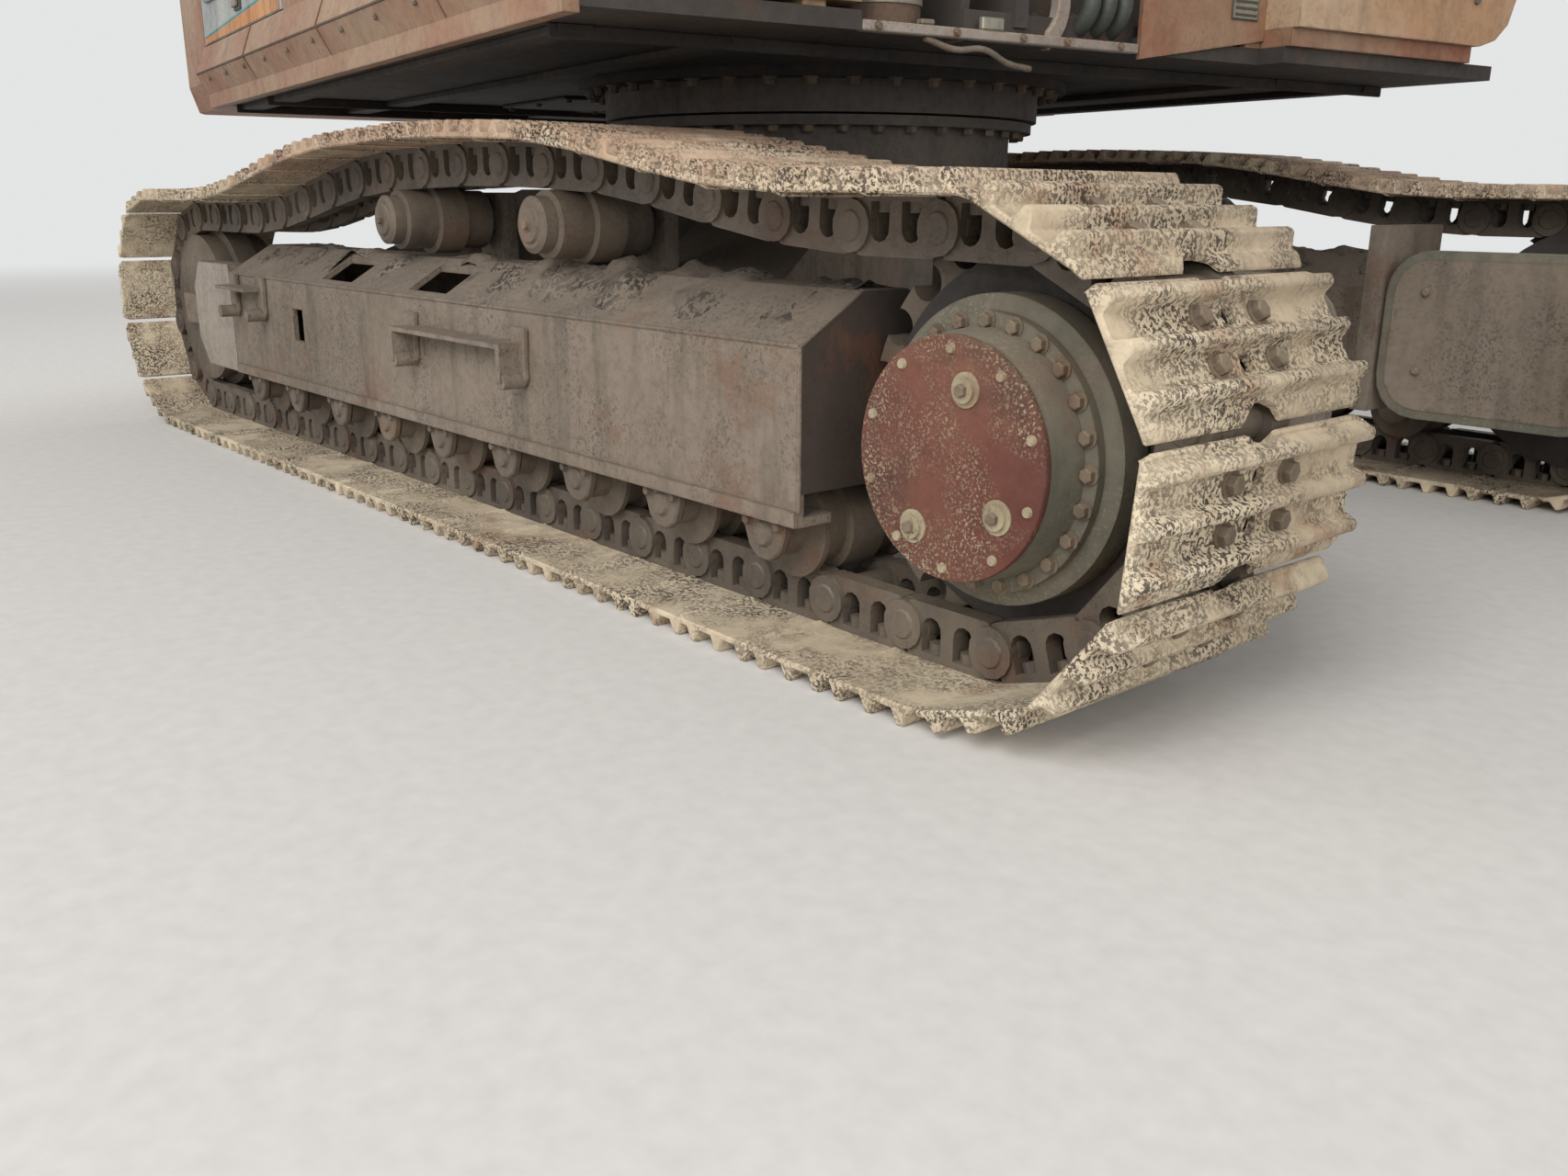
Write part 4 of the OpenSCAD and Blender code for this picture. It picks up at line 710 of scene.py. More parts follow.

# %% [markdown]
# The drive's gear housing is a shallow cone with a red cover on it. Ten flat screws hold the
# cover, three ringed plugs fill and drain the oil, and 24 bolts hold the flange behind. The dark
# disc over the sprocket's face is mud packed in its tooth spaces, darkened as painted shade of
# the recess round the drive, and a second dark disc inboard of the sprocket is painted shade
# behind its teeth.

# %% Drive housings, covers and flange bolts
lichen = weathered("pale lichen over primer", "#8d8067", "#a4977b", rust="#6b4436", dust="#a79b80", spots="#4a3a2e",
                   rusty=0.6, runs=0.1, dusty=0.3, spotted=0.7, patch=14.0, rough=0.9)

def at_drive(radius, angle, y):
    return Vector((HALF_BASE + radius * cos(angle), y, DRIVE_Z + radius * sin(angle)))

housing = dressed(smooth(bar(at_drive(0, 0, 0.150), at_drive(0, 0, 0.221), 0.211, 64, far_radius=0.203)), hub_enamel)
face = bar(at_drive(0, 0, 0.221), at_drive(0, 0, 0.236), 0.2025, 64, "cover")
dressed(rounded(face, 0.004), cover_primer)
details = []
for k in range(10):
    spot = at_drive(0.181, radians(18 + 36 * k), 0.236)
    details.append(dressed(bar(spot, spot + Vector((0, 0.005, 0)), 0.0095, 10, far_radius=0.008), lichen))
for x, z in ((0.035, 0.118), (0.112, -0.075), (-0.070, -0.122)):
    spot = Vector((HALF_BASE + x, 0.236, DRIVE_Z + z))
    for radius, y0, y1 in ((0.029, 0.0, 0.003), (0.021, 0.003, 0.010)):
        details.append(dressed(bar(spot + Vector((0, y0, 0)), spot + Vector((0, y1, 0)), radius, 20), lichen))
    plug = bolt_head(0.011, 0.012)
    plug.data.transform(Matrix.Translation(spot + Vector((0, 0.006, 0))) @ OUT)
    details.append(plug)
covers = both_tracks([face] + details, "drive_cover_faces")
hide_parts("drive_covers")
flange_bolts = repeated(bolt_head(0.0125, 0.013), [Matrix.Translation(at_drive(0.2205, radians(15 * k), 0.1505)) @ OUT
                                                   for k in range(24)], "flange bolts")
# Painted shade: both dark discs take the near black shade_enamel, and the outer one also stands for packed mud.
packed = dressed(bar(at_drive(0, 0, 0.0372), at_drive(0, 0, 0.050), 0.322, 48), shade_enamel)
guard = dressed(bar(at_drive(0, 0, -0.134), at_drive(0, 0, -0.118), 0.345, 48), shade_enamel)
both_tracks([housing, flange_bolts, packed, guard], "drive_housings")

# %% [markdown]
# Every bottom roller hangs from the frame's lip on a rounded pedestal with two bolts. The carrier
# rollers have a turned end cap with a grease plug. A strip stiffens the lower edge of the frame.

# %% Pedestals, caps, strips and steps
def pedestal():
    body = plate([(-0.062, LIP_Z), (-0.062, 0.236), (-0.046, 0.196), (-0.018, 0.176), (0.018, 0.176),
                  (0.046, 0.196), (0.062, 0.236), (0.062, LIP_Z)], 0.176, 0.197, "pedestal")
    dressed(rounded(body, 0.004, 1), roller_steel)
    cap = dressed(smooth(bar((0, 0.197, ROLLER_Z), (0, 0.205, ROLLER_Z), 0.028, 16, far_radius=0.022)), roller_steel)
    bolts = []
    for x in (-0.047, 0.047):
        bolt = bolt_head(0.010, 0.010)
        bolt.data.transform(Matrix.Translation((x, 0.1965, 0.252)) @ OUT)
        bolts.append(bolt)
    return joined([body, cap] + bolts, "pedestal")

both_tracks([repeated(pedestal(), [Matrix.Translation((x, 0, 0)) for x in ROLLERS], "pedestals")],
            "roller_pedestals")

pieces = []
for x in CARRIERS:
    cap = bar((x, 0.175, CARRIER_Z), (x, 0.182, CARRIER_Z), 0.046, 24, far_radius=0.040)
    plug = bolt_head(0.012, 0.010)
    plug.data.transform(Matrix.Translation((x, 0.182, CARRIER_Z)) @ OUT)
    pieces += [dressed(smooth(cap), roller_steel), plug]
both_tracks(pieces, "carrier_caps")

strips = [cuboid((FRAME_REAR + 0.01, 0.2148, LIP_Z + 0.001), (FRAME_FRONT, 0.224, LIP_Z + 0.032)),
          bar((FRAME_REAR, 0.2135, EDGE_Z), (FRAME_FRONT, 0.2135, EDGE_Z), 0.005, 8),
          bar((FRAME_FRONT, 0.2135, LIP_Z + 0.03), (FRAME_FRONT, 0.2135, EDGE_Z), 0.005, 8),
          bar((FRAME_FRONT, 0.2135, EDGE_Z), (FRAME_FRONT, 0.060, TOP_Z), 0.005, 8)]
for x0, x1, z in ((0.045, 0.645, 0.532), (-1.315, -1.045, 0.572)):
    for x in (x0 + 0.010, x1 - 0.010):
        ear = plate([(x - 0.032, z + 0.035), (x + 0.032, z + 0.035), (x + 0.026, z - 0.055), (x + 0.030, z - 0.085),
                     (x + 0.010, z - 0.110), (x - 0.014, z - 0.104), (x - 0.022, z - 0.075), (x - 0.026, z - 0.040)],
                    0.2148, 0.232, "ear")
        strips.append(rounded(ear, 0.004, 1))
        strips.append(smooth(bar((x + 0.004, 0.225, z - 0.088), (x + 0.004, 0.282, z - 0.088), 0.020, 14)))
for piece in strips:
    dressed(piece, frame_enamel)
pale_guard = weathered("rubbed idler guard", "#82786c", "#978c80", rust="#76553f", dust="#8f8373", rusty=0.3,
                       dusty=0.4, runs=0.25, spotted=0.35, worn=0.6, rough=0.7)
strips.append(dressed(plate([(-1.374, 0.268), (-1.374, 0.634), (-1.684, 0.634), (-1.753, 0.545), (-1.753, 0.361),
                             (-1.674, 0.268)], 0.2152, 0.2172, "guard face"), pale_guard))
both_tracks(strips, "frame_strips")

# %% [markdown]
# Earth lies on the frame's top and slopes, deepest beside the carrier rollers. It is a fine grid
# pushed up and down by a fractal noise, so that it comes through the plate in ragged heaps. The
# faces over the two windows are taken away.

# %% Earth on the frames
from mathutils import noise as lumps

earth = weathered("packed earth with grit", "#4b4238", "#776b5d", rust="#5d4636", dust="#86796a",
                  spots="#2f2a24", rusty=0.3, runs=0.0, dusty=0.35, spotted=1.0, rough=0.95,
                  patch=5.0, spot_scale=70.0, dense=0.5, bump=1.0)

def frame_skin(y):
    return TOP_Z if abs(y) < 0.06 else TOP_Z - (abs(y) - 0.06) * (TOP_Z - EDGE_Z) / (FRAME_HALF - 0.06)

leave_all()
bpy.ops.mesh.primitive_grid_add(x_subdivisions=150, y_subdivisions=18, size=1)
heap = settle("earth")
for v in heap.data.vertices:
    x = FRAME_REAR + 0.02 + (v.co.x + 0.5) * (FRAME_FRONT - FRAME_REAR - 0.06)
    y = -0.19 + (v.co.y + 0.5) * 0.385
    deep = lumps.fractal(Vector((x * 7, y * 7, 1.7)), 0.8, 2.1, 5)
    rim = min(1.0, (0.195 - abs(y)) * 14)
    near = 0.6 + 0.6 * max(0.0, 1 - abs(x - 0.9) / 0.9)
    v.co = (x, y, frame_skin(y) - 0.006 + max(-0.004, 0.009 + 0.036 * deep) * near * max(0.0, rim))
pick(heap, lambda c, n: 0.080 < c.y < 0.199 and (abs(c.x + 0.505) < 0.120 or abs(c.x - 0.095) < 0.120))
bpy.ops.mesh.delete(type="FACE")
done()
dressed(smooth(heap, 60), earth)
both_tracks([heap], "frame_earth")

# %% [markdown]
# The frame's end behind the drive is in shade: a thin near black plate over the end wall paints that shade, with rust
# and dust marks on it.

# %% Frame ends
# Painted shade: this near black finish stands for the shade on the frame's end wall.
greasy = weathered("frame end darkened as painted shade", "#352b26", "#463a32", dust="#5b4f44", rusty=0.5, dusty=0.3, runs=0.3,
                   spotted=0.4)
end = plate([(-0.214, 0.331), (-0.214, EDGE_Z), (-0.060, TOP_Z - 0.001), (0.060, TOP_Z - 0.001),
             (0.214, EDGE_Z), (0.214, 0.331)],
            -FRAME_FRONT - 0.003, -FRAME_FRONT - 0.0002, "end")
end.data.transform(Matrix.Rotation(radians(90), 4, "Z"))
both_tracks([dressed(end, greasy)], "frame_ends")

# %% [markdown]
# The travel motor sits inboard of the drive under a guard with rounded corners, which shows at
# the far track behind a square post. The sump bolts and ring bolts under the deck follow.

# %% Motor guards
def rounded_outline(x0, x1, z0, z1, radius, steps=5):
    outline = []
    for cx, cz, start in ((x1 - radius, z1 - radius, 0), (x0 + radius, z1 - radius, 90),
                          (x0 + radius, z0 + radius, 180), (x1 - radius, z0 + radius, 270)):
        outline += [(cx + radius * cos(radians(start + 90 * k / steps)),
                     cz + radius * sin(radians(start + 90 * k / steps))) for k in range(steps + 1)]
    return outline

guard_front = rounded(plate(rounded_outline(1.622, 2.262, 0.262, 0.735, 0.12), -0.556, -0.5445, "motor guard"), 0.005)
rim = plate(rounded_outline(1.648, 2.238, 0.288, 0.710, 0.10), -0.5585, -0.5555, "panel")
post = cuboid((1.552, -0.556, 0.268), (1.610, -0.2152, 0.800), "post")
hood_plate = cuboid((1.660, -0.5445, 0.640), (2.150, -0.230, 0.722), "guard top")
pieces = [dressed(guard_front, hub_enamel), dressed(rounded(hood_plate, 0.02), hub_enamel),
          dressed(rim, frame_enamel), dressed(rounded(post, 0.004), frame_enamel)]
for x in (1.74, 2.21):
    for z in (0.40, 0.62):
        bolt = bolt_head(0.011, 0.010)
        bolt.data.transform(Matrix.Translation((x, -0.5585, z)) @ Matrix.Rotation(radians(90), 4, "X"))
        pieces.append(bolt)
both_tracks(pieces, "motor_guards")

# %% Bolts of the slewing ring
ring_bolts = repeated(bolt_head(0.016, 0.020), [Matrix.Rotation(radians(9 * k), 4, "Z") @
                      Matrix.Translation((0.752, 0, DECK_Z - 0.0262)) @ DOWN for k in range(40)], "ring_bolts_above")
finish(ring_bolts, "upper")
ring_nuts = repeated(bolt_head(0.016, 0.018), [Matrix.Rotation(YAW + radians(9 * k), 4, "Z") @
                     Matrix.Translation((0.655, 0, 1.0682)) @ DOWN for k in range(40)], "ring_bolts_below")
finish(ring_nuts, "undercarriage")
# %% [markdown]
# ## Upper structure
# The lower edge of the house shows from below: the skirt's folded seam with its bolts, and at the
# front the open bay beside the boom, where hoses, a reservoir and a curved rib sit above a dusty
# ledge with a pipe hanging under it.

# %% Tools for plates, hoses and placed pieces
def placed(obj, matrix):
    obj.data.transform(matrix)
    return obj

def facing(outline, x0, x1, name="plate"):
    """A flat plate cut to an outline of (y, z) corners, between two places along the machine."""
    return placed(plate(outline, -x1, -x0, name), Matrix.Rotation(radians(90), 4, "Z"))

def hose(points, radius, material, name="hose", sides=3):
    """A round hose or pipe through points: a curve with a thickness, then made a mesh."""
    curve = bpy.data.curves.new(name, "CURVE")
    curve.dimensions, curve.bevel_depth, curve.bevel_resolution, curve.resolution_u = "3D", radius, sides, 5
    curve.use_fill_caps = True
    line = curve.splines.new("BEZIER")
    line.bezier_points.add(len(points) - 1)
    for knot, at in zip(line.bezier_points, points):
        knot.co = at
        knot.handle_left_type = knot.handle_right_type = "AUTO"
    obj = bpy.data.objects.new(name, curve)
    bpy.context.collection.objects.link(obj)
    only(obj)
    bpy.ops.object.convert(target="MESH")
    return dressed(smooth(bpy.context.object, 60), material)

def block(lo, hi, material, edge=0.003):
    return dressed(rounded(cuboid(lo, hi), edge, 1), material)

def rod(start, end, radius, material, sides=16, far_radius=None):
    return dressed(smooth(bar(start, end, radius, sides, far_radius=far_radius)), material)

def bolts(places, radius=0.011, height=0.010, name="bolts"):
    return repeated(bolt_head(radius, height), places, name)

def at(x, y, z, turn=None):
    return Matrix.Translation((x, y, z)) @ (turn or Matrix.Identity(4))

TO_RIGHT = Matrix.Rotation(radians(90), 4, "X")
TO_LEFT = Matrix.Rotation(radians(-90), 4, "X")
TO_FRONT = Matrix.Rotation(radians(90), 4, "Y")
TO_REAR = Matrix.Rotation(radians(-90), 4, "Y")

# %% The open bay beside the boom
ledge_enamel = weathered("dusty grey ledge enamel", "#857a73", "#9b9088", rust="#6f5140", dusty=0.8, runs=0.3)
coil_rubber = weathered("green black hose rubber", "#2a2f2b", "#3a403b", dust="#6d6a5c", rusty=0.0, dusty=0.4,
                        rough=0.5)
pieces = [block((1.318, -0.800, 1.2156), (1.350, 0.044, 1.238), ledge_enamel),
          # The dark plate at the reservoir's foot is painted shade on the floor of the bay.
          block((1.155, -0.795, 1.2156), (1.317, -0.500, 1.226), shade_enamel),
          block((1.336, -0.466, 1.2382), (1.352, -0.400, 1.266), blank_plate),
          block((1.326, -0.640, 1.2382), (1.350, -0.602, 1.250), rail_enamel),
          rod((1.235, -0.680, 1.226), (1.235, -0.680, 1.470), 0.098, flue_steel, 32),
          rod((1.235, -0.680, 1.470), (1.235, -0.680, 1.505), 0.098, flue_steel, 32, 0.060),
          rod((1.235, -0.680, 1.280), (1.235, -0.680, 1.300), 0.102, rail_enamel, 32)]
crescent = [(-0.290 + r * cos(radians(a)), 1.318 + r * sin(radians(a)))
            for r, turn in ((0.125, range(-62, 81, 12)), (0.085, range(80, -63, -12))) for a in turn]
pieces.append(dressed(rounded(facing(crescent, 1.290, 1.322, "rib"), 0.004, 1), ledge_enamel))
for k in range(3):
    y = -0.128 + 0.054 * k
    pieces.append(hose([(1.165, y, 1.300), (1.240, y, 1.262), (1.318, y + 0.008, 1.278), (1.338, y + 0.014, 1.345),
                        (1.290, y + 0.016, 1.405), (1.190, y + 0.018, 1.412)], 0.023, coil_rubber))
    pieces.append(rod((1.160, y, 1.300), (1.196, y, 1.284), 0.027, bolt_steel, 6))
pieces.append(hose([(1.335, -0.620, 1.212), (1.342, -0.540, 1.192), (1.340, -0.450, 1.197), (1.332, -0.370, 1.172),
                    (1.310, -0.280, 1.166), (1.240, -0.250, 1.180)], 0.0075, frame_enamel))
pieces.append(bolts([at(1.3505, y, 1.227, TO_FRONT) for y in (-0.76, -0.54, -0.34, -0.20, -0.02)], 0.008, 0.007))
pieces += [block((1.3505, 0.372, 1.318), (1.3545, 0.474, 1.374), black_steel, 0.001),
           block((1.3545, 0.376, 1.322), (1.3555, 0.470, 1.370), blank_plate, 0.0004)]
pieces += [block((1.3555, 0.380, z), (1.3565, 0.466, z + 0.007), coil_rubber, 0.0004) for z in (1.327, 1.343, 1.359)]
pieces.append(hose([(1.351, 0.520, 1.290), (1.352, 0.522, 1.330), (1.354, 0.530, 1.385)], 0.009, black_steel))
finish(joined(pieces, "bay_fittings"), "upper")

# %% [markdown]
# The skirt is folded at half height. Its seam carries small bolts, and plain joints part it every
# metre. The deck underneath is stiffened by flat bars.

# %% Skirts and underside
pieces = []
for y, x0, x1 in ((-HOUSE - 0.0455, REAR, FRONT), (HOUSE + 0.0455, REAR, CAB_REAR - 0.03)):
    side = 1 if y > 0 else -1
    pieces.append(rod((x0, y - side * 0.003, 1.330), (x1, y - side * 0.003, 1.330), 0.0045, flue_steel, 6))
    count = int((x1 - x0) / 0.32)
    lean = Matrix.Rotation(side * radians(-112), 4, "X")
    pieces.append(bolts([at(x0 + 0.2 + 0.32 * k, y - side * 0.0125, 1.301, lean) for k in range(count)], 0.007, 0.005))
    for x in [x0 + 0.9, x0 + 1.9, x0 + 2.9]:
        if x < x1:
            pieces.append(rod((x, y + side * 0.0005, 1.331), (x, HOUSE * side + side * 0.0085, 1.428), 0.003,
                              flue_steel, 6))
            pieces.append(rod((x, y + side * 0.0005, 1.329), (x, HOUSE * side + side * 0.0055, 1.257), 0.003,
                              flue_steel, 6))
finish(joined(pieces, "skirt_seams"), "upper")

# The bars and pads under the deck take shade_enamel, the same painted shade as the deck.
pieces = [block((x, -1.42, DECK_Z - 0.030), (x + 0.012, 1.42, DECK_Z - 0.0003), shade_enamel)
          for x in (-2.10, -1.55, 1.08)]
pieces += [block((-2.15, y, DECK_Z - 0.018), (1.10, y + 0.08, DECK_Z - 0.0002), shade_enamel) for y in (-1.40,
        -0.98, 0.90, 1.32)]
pieces += [block((x0, y0, DECK_Z - 0.012), (x0 + 0.62, y0 + 0.42, DECK_Z - 0.0002), shade_enamel, 0.006)
           for x0, y0 in ((-1.45, -0.55), (-1.45, 0.15), (-2.05, -0.20))]
for x0, y0 in ((-1.45, -0.55), (-1.45, 0.15)):
    pieces.append(bolts([at(x0 + 0.03 + 0.28 * i, y0 + 0.03 + 0.36 * j, DECK_Z - 0.012, DOWN)
                         for i in range(3) for j in range(2)]))
finish(joined(pieces, "deck_ribs"), "upper")

# %% [markdown]
# Each side door breathes through a bank of louvres. A louvre is one bent slat, copied up the
# panel. The right door wears an orange wedge along its lower edge with a thin teal line over it.

# %% Side doors
wedge_paint = weathered("orange stripe", "#b4753f", "#c08a5a", dusty=0.4, rusty=0.25)
teal_paint = weathered("thin teal line", "#4f8782", "#6b9a95", dusty=0.3, rusty=0.1)

def louvres(x0, x1, z0, count, pitch=0.034):
    slat = plate([(0, 0), (0.004, 0), (0.018, 0.024), (0.014, 0.026)], x0, x1, "slat")
    slat = placed(slat, Matrix.Rotation(radians(90), 4, "Z") @ Matrix.Scale(-1, 4, (0, 1, 0)))
    only(slat)
    bpy.ops.object.mode_set(mode="EDIT")
    bpy.ops.mesh.select_all(action="SELECT")
    bpy.ops.mesh.normals_make_consistent(inside=False)
    done()
    return dressed(repeated(slat, [at(0, HOUSE, z0 + pitch * k) for k in range(count)], "slats"), door_enamel)

def door_fittings():
    bank = louvres(-2.05, -1.50, 1.60, 12)
    frame_bars = [block((-2.07, HOUSE, z), (-1.48, HOUSE + 0.012, z + 0.014), door_enamel) for z in (1.582, 2.012)]
    frame_bars += [block((x, HOUSE, 1.582), (x + 0.014, HOUSE + 0.012, 2.026), door_enamel) for x in (-2.07, -1.494)]
    handle = [block((-1.56, HOUSE, 1.500), (-1.46, HOUSE + 0.008, 1.545), black_steel),
              block((-1.545, HOUSE + 0.008, 1.510), (-1.475, HOUSE + 0.020, 1.534), rail_enamel)]
    ribs = [block((x, HOUSE, 1.52), (x + 0.018, HOUSE + 0.006, 2.05), door_enamel, 0.002) for x in (-1.38, -1.02)]
    return [bank] + frame_bars + handle + ribs

left = joined(door_fittings(), "cooler_door_fittings")
right_parts = joined(door_fittings(), "pump_door_fittings")
right = mirrored(right_parts)
bpy.data.objects.remove(right_parts)
stripe = dressed(plate([(-2.170, 1.4415), (-0.900, 1.4415), (-0.900, 1.502), (-2.170, 1.458)], -1.4975,
                       -1.4952), wedge_paint)
line_above = dressed(plate([(-2.170, 1.463), (-0.900, 1.508), (-0.900, 1.516), (-2.170, 1.469)], -1.4970,
                           -1.4952), teal_paint)
finish(left, "cooler_door")
finish(joined([right, stripe, line_above], "pump_door_fittings"), "pump_door")

# %% Hood, tanks, box and exhaust
pieces = [block((-1.95 + 0.11 * k, -0.55, 2.3202), (-1.90 + 0.11 * k, 0.55, 2.332), body_enamel,
                0.004) for k in range(9)]
pieces += [block((-0.900, y - 0.06, 2.170), (-0.8605, y + 0.06, 2.190), black_steel) for y in (-0.4, 0.4)]
pieces += [rod((-1.70, y, 2.322), (-1.20, y, 2.322), 0.010, rail_enamel, 10) for y in (-0.66, 0.66)]
finish(joined(pieces, "hood_ribs"), "hood")

grip_steel = weathered("studded tread plate", "#5c564d", "#716a5e", rust="#6a4a35", rusty=0.4, dusty=0.7, spotted=0.4)
pieces = []
for x0, x1, y0, y1 in ((-0.150, 0.430, -1.40, -0.62), (-0.80, -0.26, -1.40, -0.62)):
    pieces.append(block((x0, y0, 2.1402), (x1, y1, 2.147), grip_steel, 0.002))
    stud = dressed(bar((0, 0, 0), (0, 0, 0.006), 0.012, 6, far_radius=0.009), grip_steel)
    pieces.append(repeated(stud, [at(x0 + 0.05 + 0.07 * i, y0 + 0.05 + 0.07 * j, 2.147)
                                  for i in range(int((x1 - x0 - 0.05) / 0.07)) for j in range(int((y1 - y0 - 0.05) / 0.07))], "studs"))
for x, y in ((0.590, -1.30), (-0.235, -0.66)):
    pieces += [rod((x, y, 2.140), (x, y, 2.165), 0.052, black_steel, 24),
               rod((x, y, 2.165), (x, y, 2.195), 0.044, rail_enamel, 12, 0.040)]
pieces += [rod((-1.160, -1.100, 2.535), (-1.180, -1.100, 2.640), 0.050, flue_steel, 24),
           rod((-1.160, -1.100, 2.145), (-1.160, -1.100, 2.160), 0.085, flue_steel, 24)]
pieces.append(bolts([at(-1.160 + 0.072 * cos(radians(60 * k)), -1.100 + 0.072 * sin(radians(60 * k)), 2.160)
                     for k in range(6)], 0.007, 0.007))
for x in (0.05, 0.45, -0.55):
    pieces.append(block((x, -1.4985, 1.50), (x + 0.012, -1.495, 2.10), body_enamel, 0.001))
for z in (1.36, 1.56):
    pieces += [block((1.3502, -1.30, z), (1.420, -0.98, z + 0.012), grip_steel),
               block((1.3502, -1.30, z - 0.04), (1.356, -0.98, z + 0.02), grip_steel)]
    pieces += [block((1.3502, y, z - 0.05), (1.412, y + 0.008, z), grip_steel, 0.002) for y in (-1.30, -0.988)]
pieces += [block((1.3502, y, 1.30), (1.3535, y + 0.010, 1.745), box_enamel, 0.001) for y in (-1.47, -0.84)]
finish(joined(pieces, "tank_fittings"), "upper")

pieces = [block((0.76, -1.42, 1.7902), (1.29, -0.90, 1.797), grip_steel, 0.002),
          block((1.3502, -1.20, 1.765), (1.364, -1.10, 1.788), black_steel)]
stud = dressed(bar((0, 0, 0), (0, 0, 0.006), 0.012, 6, far_radius=0.009), grip_steel)
pieces.append(repeated(stud, [at(0.81 + 0.07 * i, -1.37 + 0.07 * j, 1.797) for i in range(7) for j in range(7)],
                       "studs"))
finish(joined(pieces, "lid_fittings"), "tool_box_lid")

# %% [markdown]
# The counterweight is one casting. A grille and two lamps sit in its rear face. The rail by the
# box carries a mirror.

# %% Counterweight, rails and mirror
red_lens = weathered("red lamp lens", "#7d1f1a", "#8e2d26", rusty=0.0, dusty=0.3, spotted=0.1, rough=0.25, bump=0.05)
mirror_glass = bpy.data.materials.new("mirror glass")
mirror_glass.use_nodes = True
mirror_glass.node_tree.nodes.clear()
m = mirror_glass.node_tree
film = noise(m, node(m, "ShaderNodeTexCoord").outputs["Object"], 14.0)
dull = node(m, "ShaderNodeMapRange", {"Value": film, "From Min": 0.3, "From Max": 0.7, "To Min": 0.02, "To Max": 0.2})
skin = node(m, "ShaderNodeBsdfPrincipled", {"Base Color": srgb("#c4c8ca"), "Metallic": 1.0,
                                            "Roughness": dull.outputs[0]})
node(m, "ShaderNodeOutputMaterial", {"Surface": skin.outputs[0]})
pieces = [block((-3.362, y - 0.10, 1.78), (-3.335, y + 0.10, 1.86), black_steel) for y in (-0.62, 0.62)]
pieces += [block((-3.366, y - 0.085, 1.79), (-3.361, y + 0.085, 1.85), red_lens, 0.004) for y in (-0.62, 0.62)]
pieces += [block((-3.358, -0.45 + 0.10 * k, 1.50), (-3.344, -0.40 + 0.10 * k, 1.72), black_steel) for k in range(10)]
pieces += [block((-3.356, -0.50, z), (-3.342, 0.55, z + 0.03), body_enamel) for z in (1.455, 1.735)]
pieces.append(bolts([at(-3.356, y, z, TO_REAR) for y in (-0.48, 0.53) for z in (1.47, 1.75)], 0.014, 0.012))
pieces += [rod((1.399, -1.455, 2.250), (1.440, -1.500, 2.300), 0.010, black_steel),
           block((1.425, -1.560, 2.180), (1.470, -1.440, 2.470), black_steel, 0.018),
           block((1.4200, -1.548, 2.195), (1.4252, -1.452, 2.455), mirror_glass, 0.002)]
for x in (0.56, 0.48, -0.16):
    pieces.append(rod((x, -1.455, 2.1403), (x, -1.455, 2.150), 0.040, rail_enamel, 20))
    pieces.append(bolts([at(x + 0.028 * cos(a), -1.455 + 0.028 * sin(a), 2.150) for a in (0.8, 2.9, 5.0)],
                        0.006, 0.006))
finish(joined(pieces, "tail_and_rail_fittings"), "upper")
# %% [markdown]
# ## Cab
# Outside, black rubber seals frame the panes, and the cab carries lamps, a wiper, a mirror and
# grab rails. Inside it has what the driver touches: levers on two consoles, pedals, a screen and
# the seat. Everything stays inside the shell, whose walls are 30 to 50 mm thick.

# %% Seals, lamps and rails
def framed(corners, radius, material=None):
    """A rubber seal along a closed row of corners."""
    material = material or black_steel
    closed = list(corners) + [corners[0]]
    return [rod(a, b, radius, material, 8) for a, b in zip(closed, closed[1:])]

pieces = []
for y in (0.606, 1.384):
    for a, b in (((1.459, 1.752), (1.459, 1.900)), ((1.459, 1.900), (1.432, 2.250)), ((1.432, 2.250), (1.178, 2.950))):
        pieces.append(rod((a[0], y, a[1]), (b[0], y, b[1]), 0.011, black_steel, 8))
for x, z in ((1.459, 1.752), (1.178, 2.950)):
    pieces.append(rod((x, 0.606, z), (x, 1.384, z), 0.011, black_steel, 8))
for y in (CAB_IN - 0.001, CAB_OUT + 0.001):
    corners = ((-0.330, 1.950), (-0.330, 3.025), (1.060, 3.005), (1.340, 2.240), (1.360, 1.950))
    if y > 1:
        corners = ((0.740, 1.950), (0.740, 3.025), (1.060, 3.005), (1.340, 2.240), (1.360, 1.950))
    pieces += framed([(x, y, z) for x, z in corners], 0.009)
pieces += framed([(CAB_REAR - 0.001, y, z) for y, z in ((0.60, 2.050), (0.60, 3.005), (1.39, 3.005),
                                                        (1.39, 2.050))], 0.009)
pieces += framed([(x, y, 3.146) for x, y in ((0.10, 0.65), (0.75, 0.65), (0.75, 1.34), (0.10, 1.34))], 0.012)
for y in (0.72, 1.27):
    pieces += [block((0.965, y - 0.065, 3.160), (1.040, y + 0.065, 3.255), black_steel, 0.012),
               rod((1.000, y, 3.080), (1.000, y, 3.165), 0.014, black_steel),
               dressed(block((1.040, y - 0.052, 3.172), (1.046, y + 0.052, 3.243), blank_plate, 0.006), mirror_glass)]
pieces += [hose([(1.470, 0.70, 1.735), (1.480, 0.76, 1.76), (1.478, 0.95, 2.02), (1.4705, 1.02, 2.10)], 0.007,
                black_steel),
           rod((1.4790, 0.99, 1.860), (1.4480, 1.03, 2.330), 0.009, black_steel, 8),
           block((1.4580, 0.66, 1.700), (1.4800, 0.74, 1.745), black_steel, 0.006)]
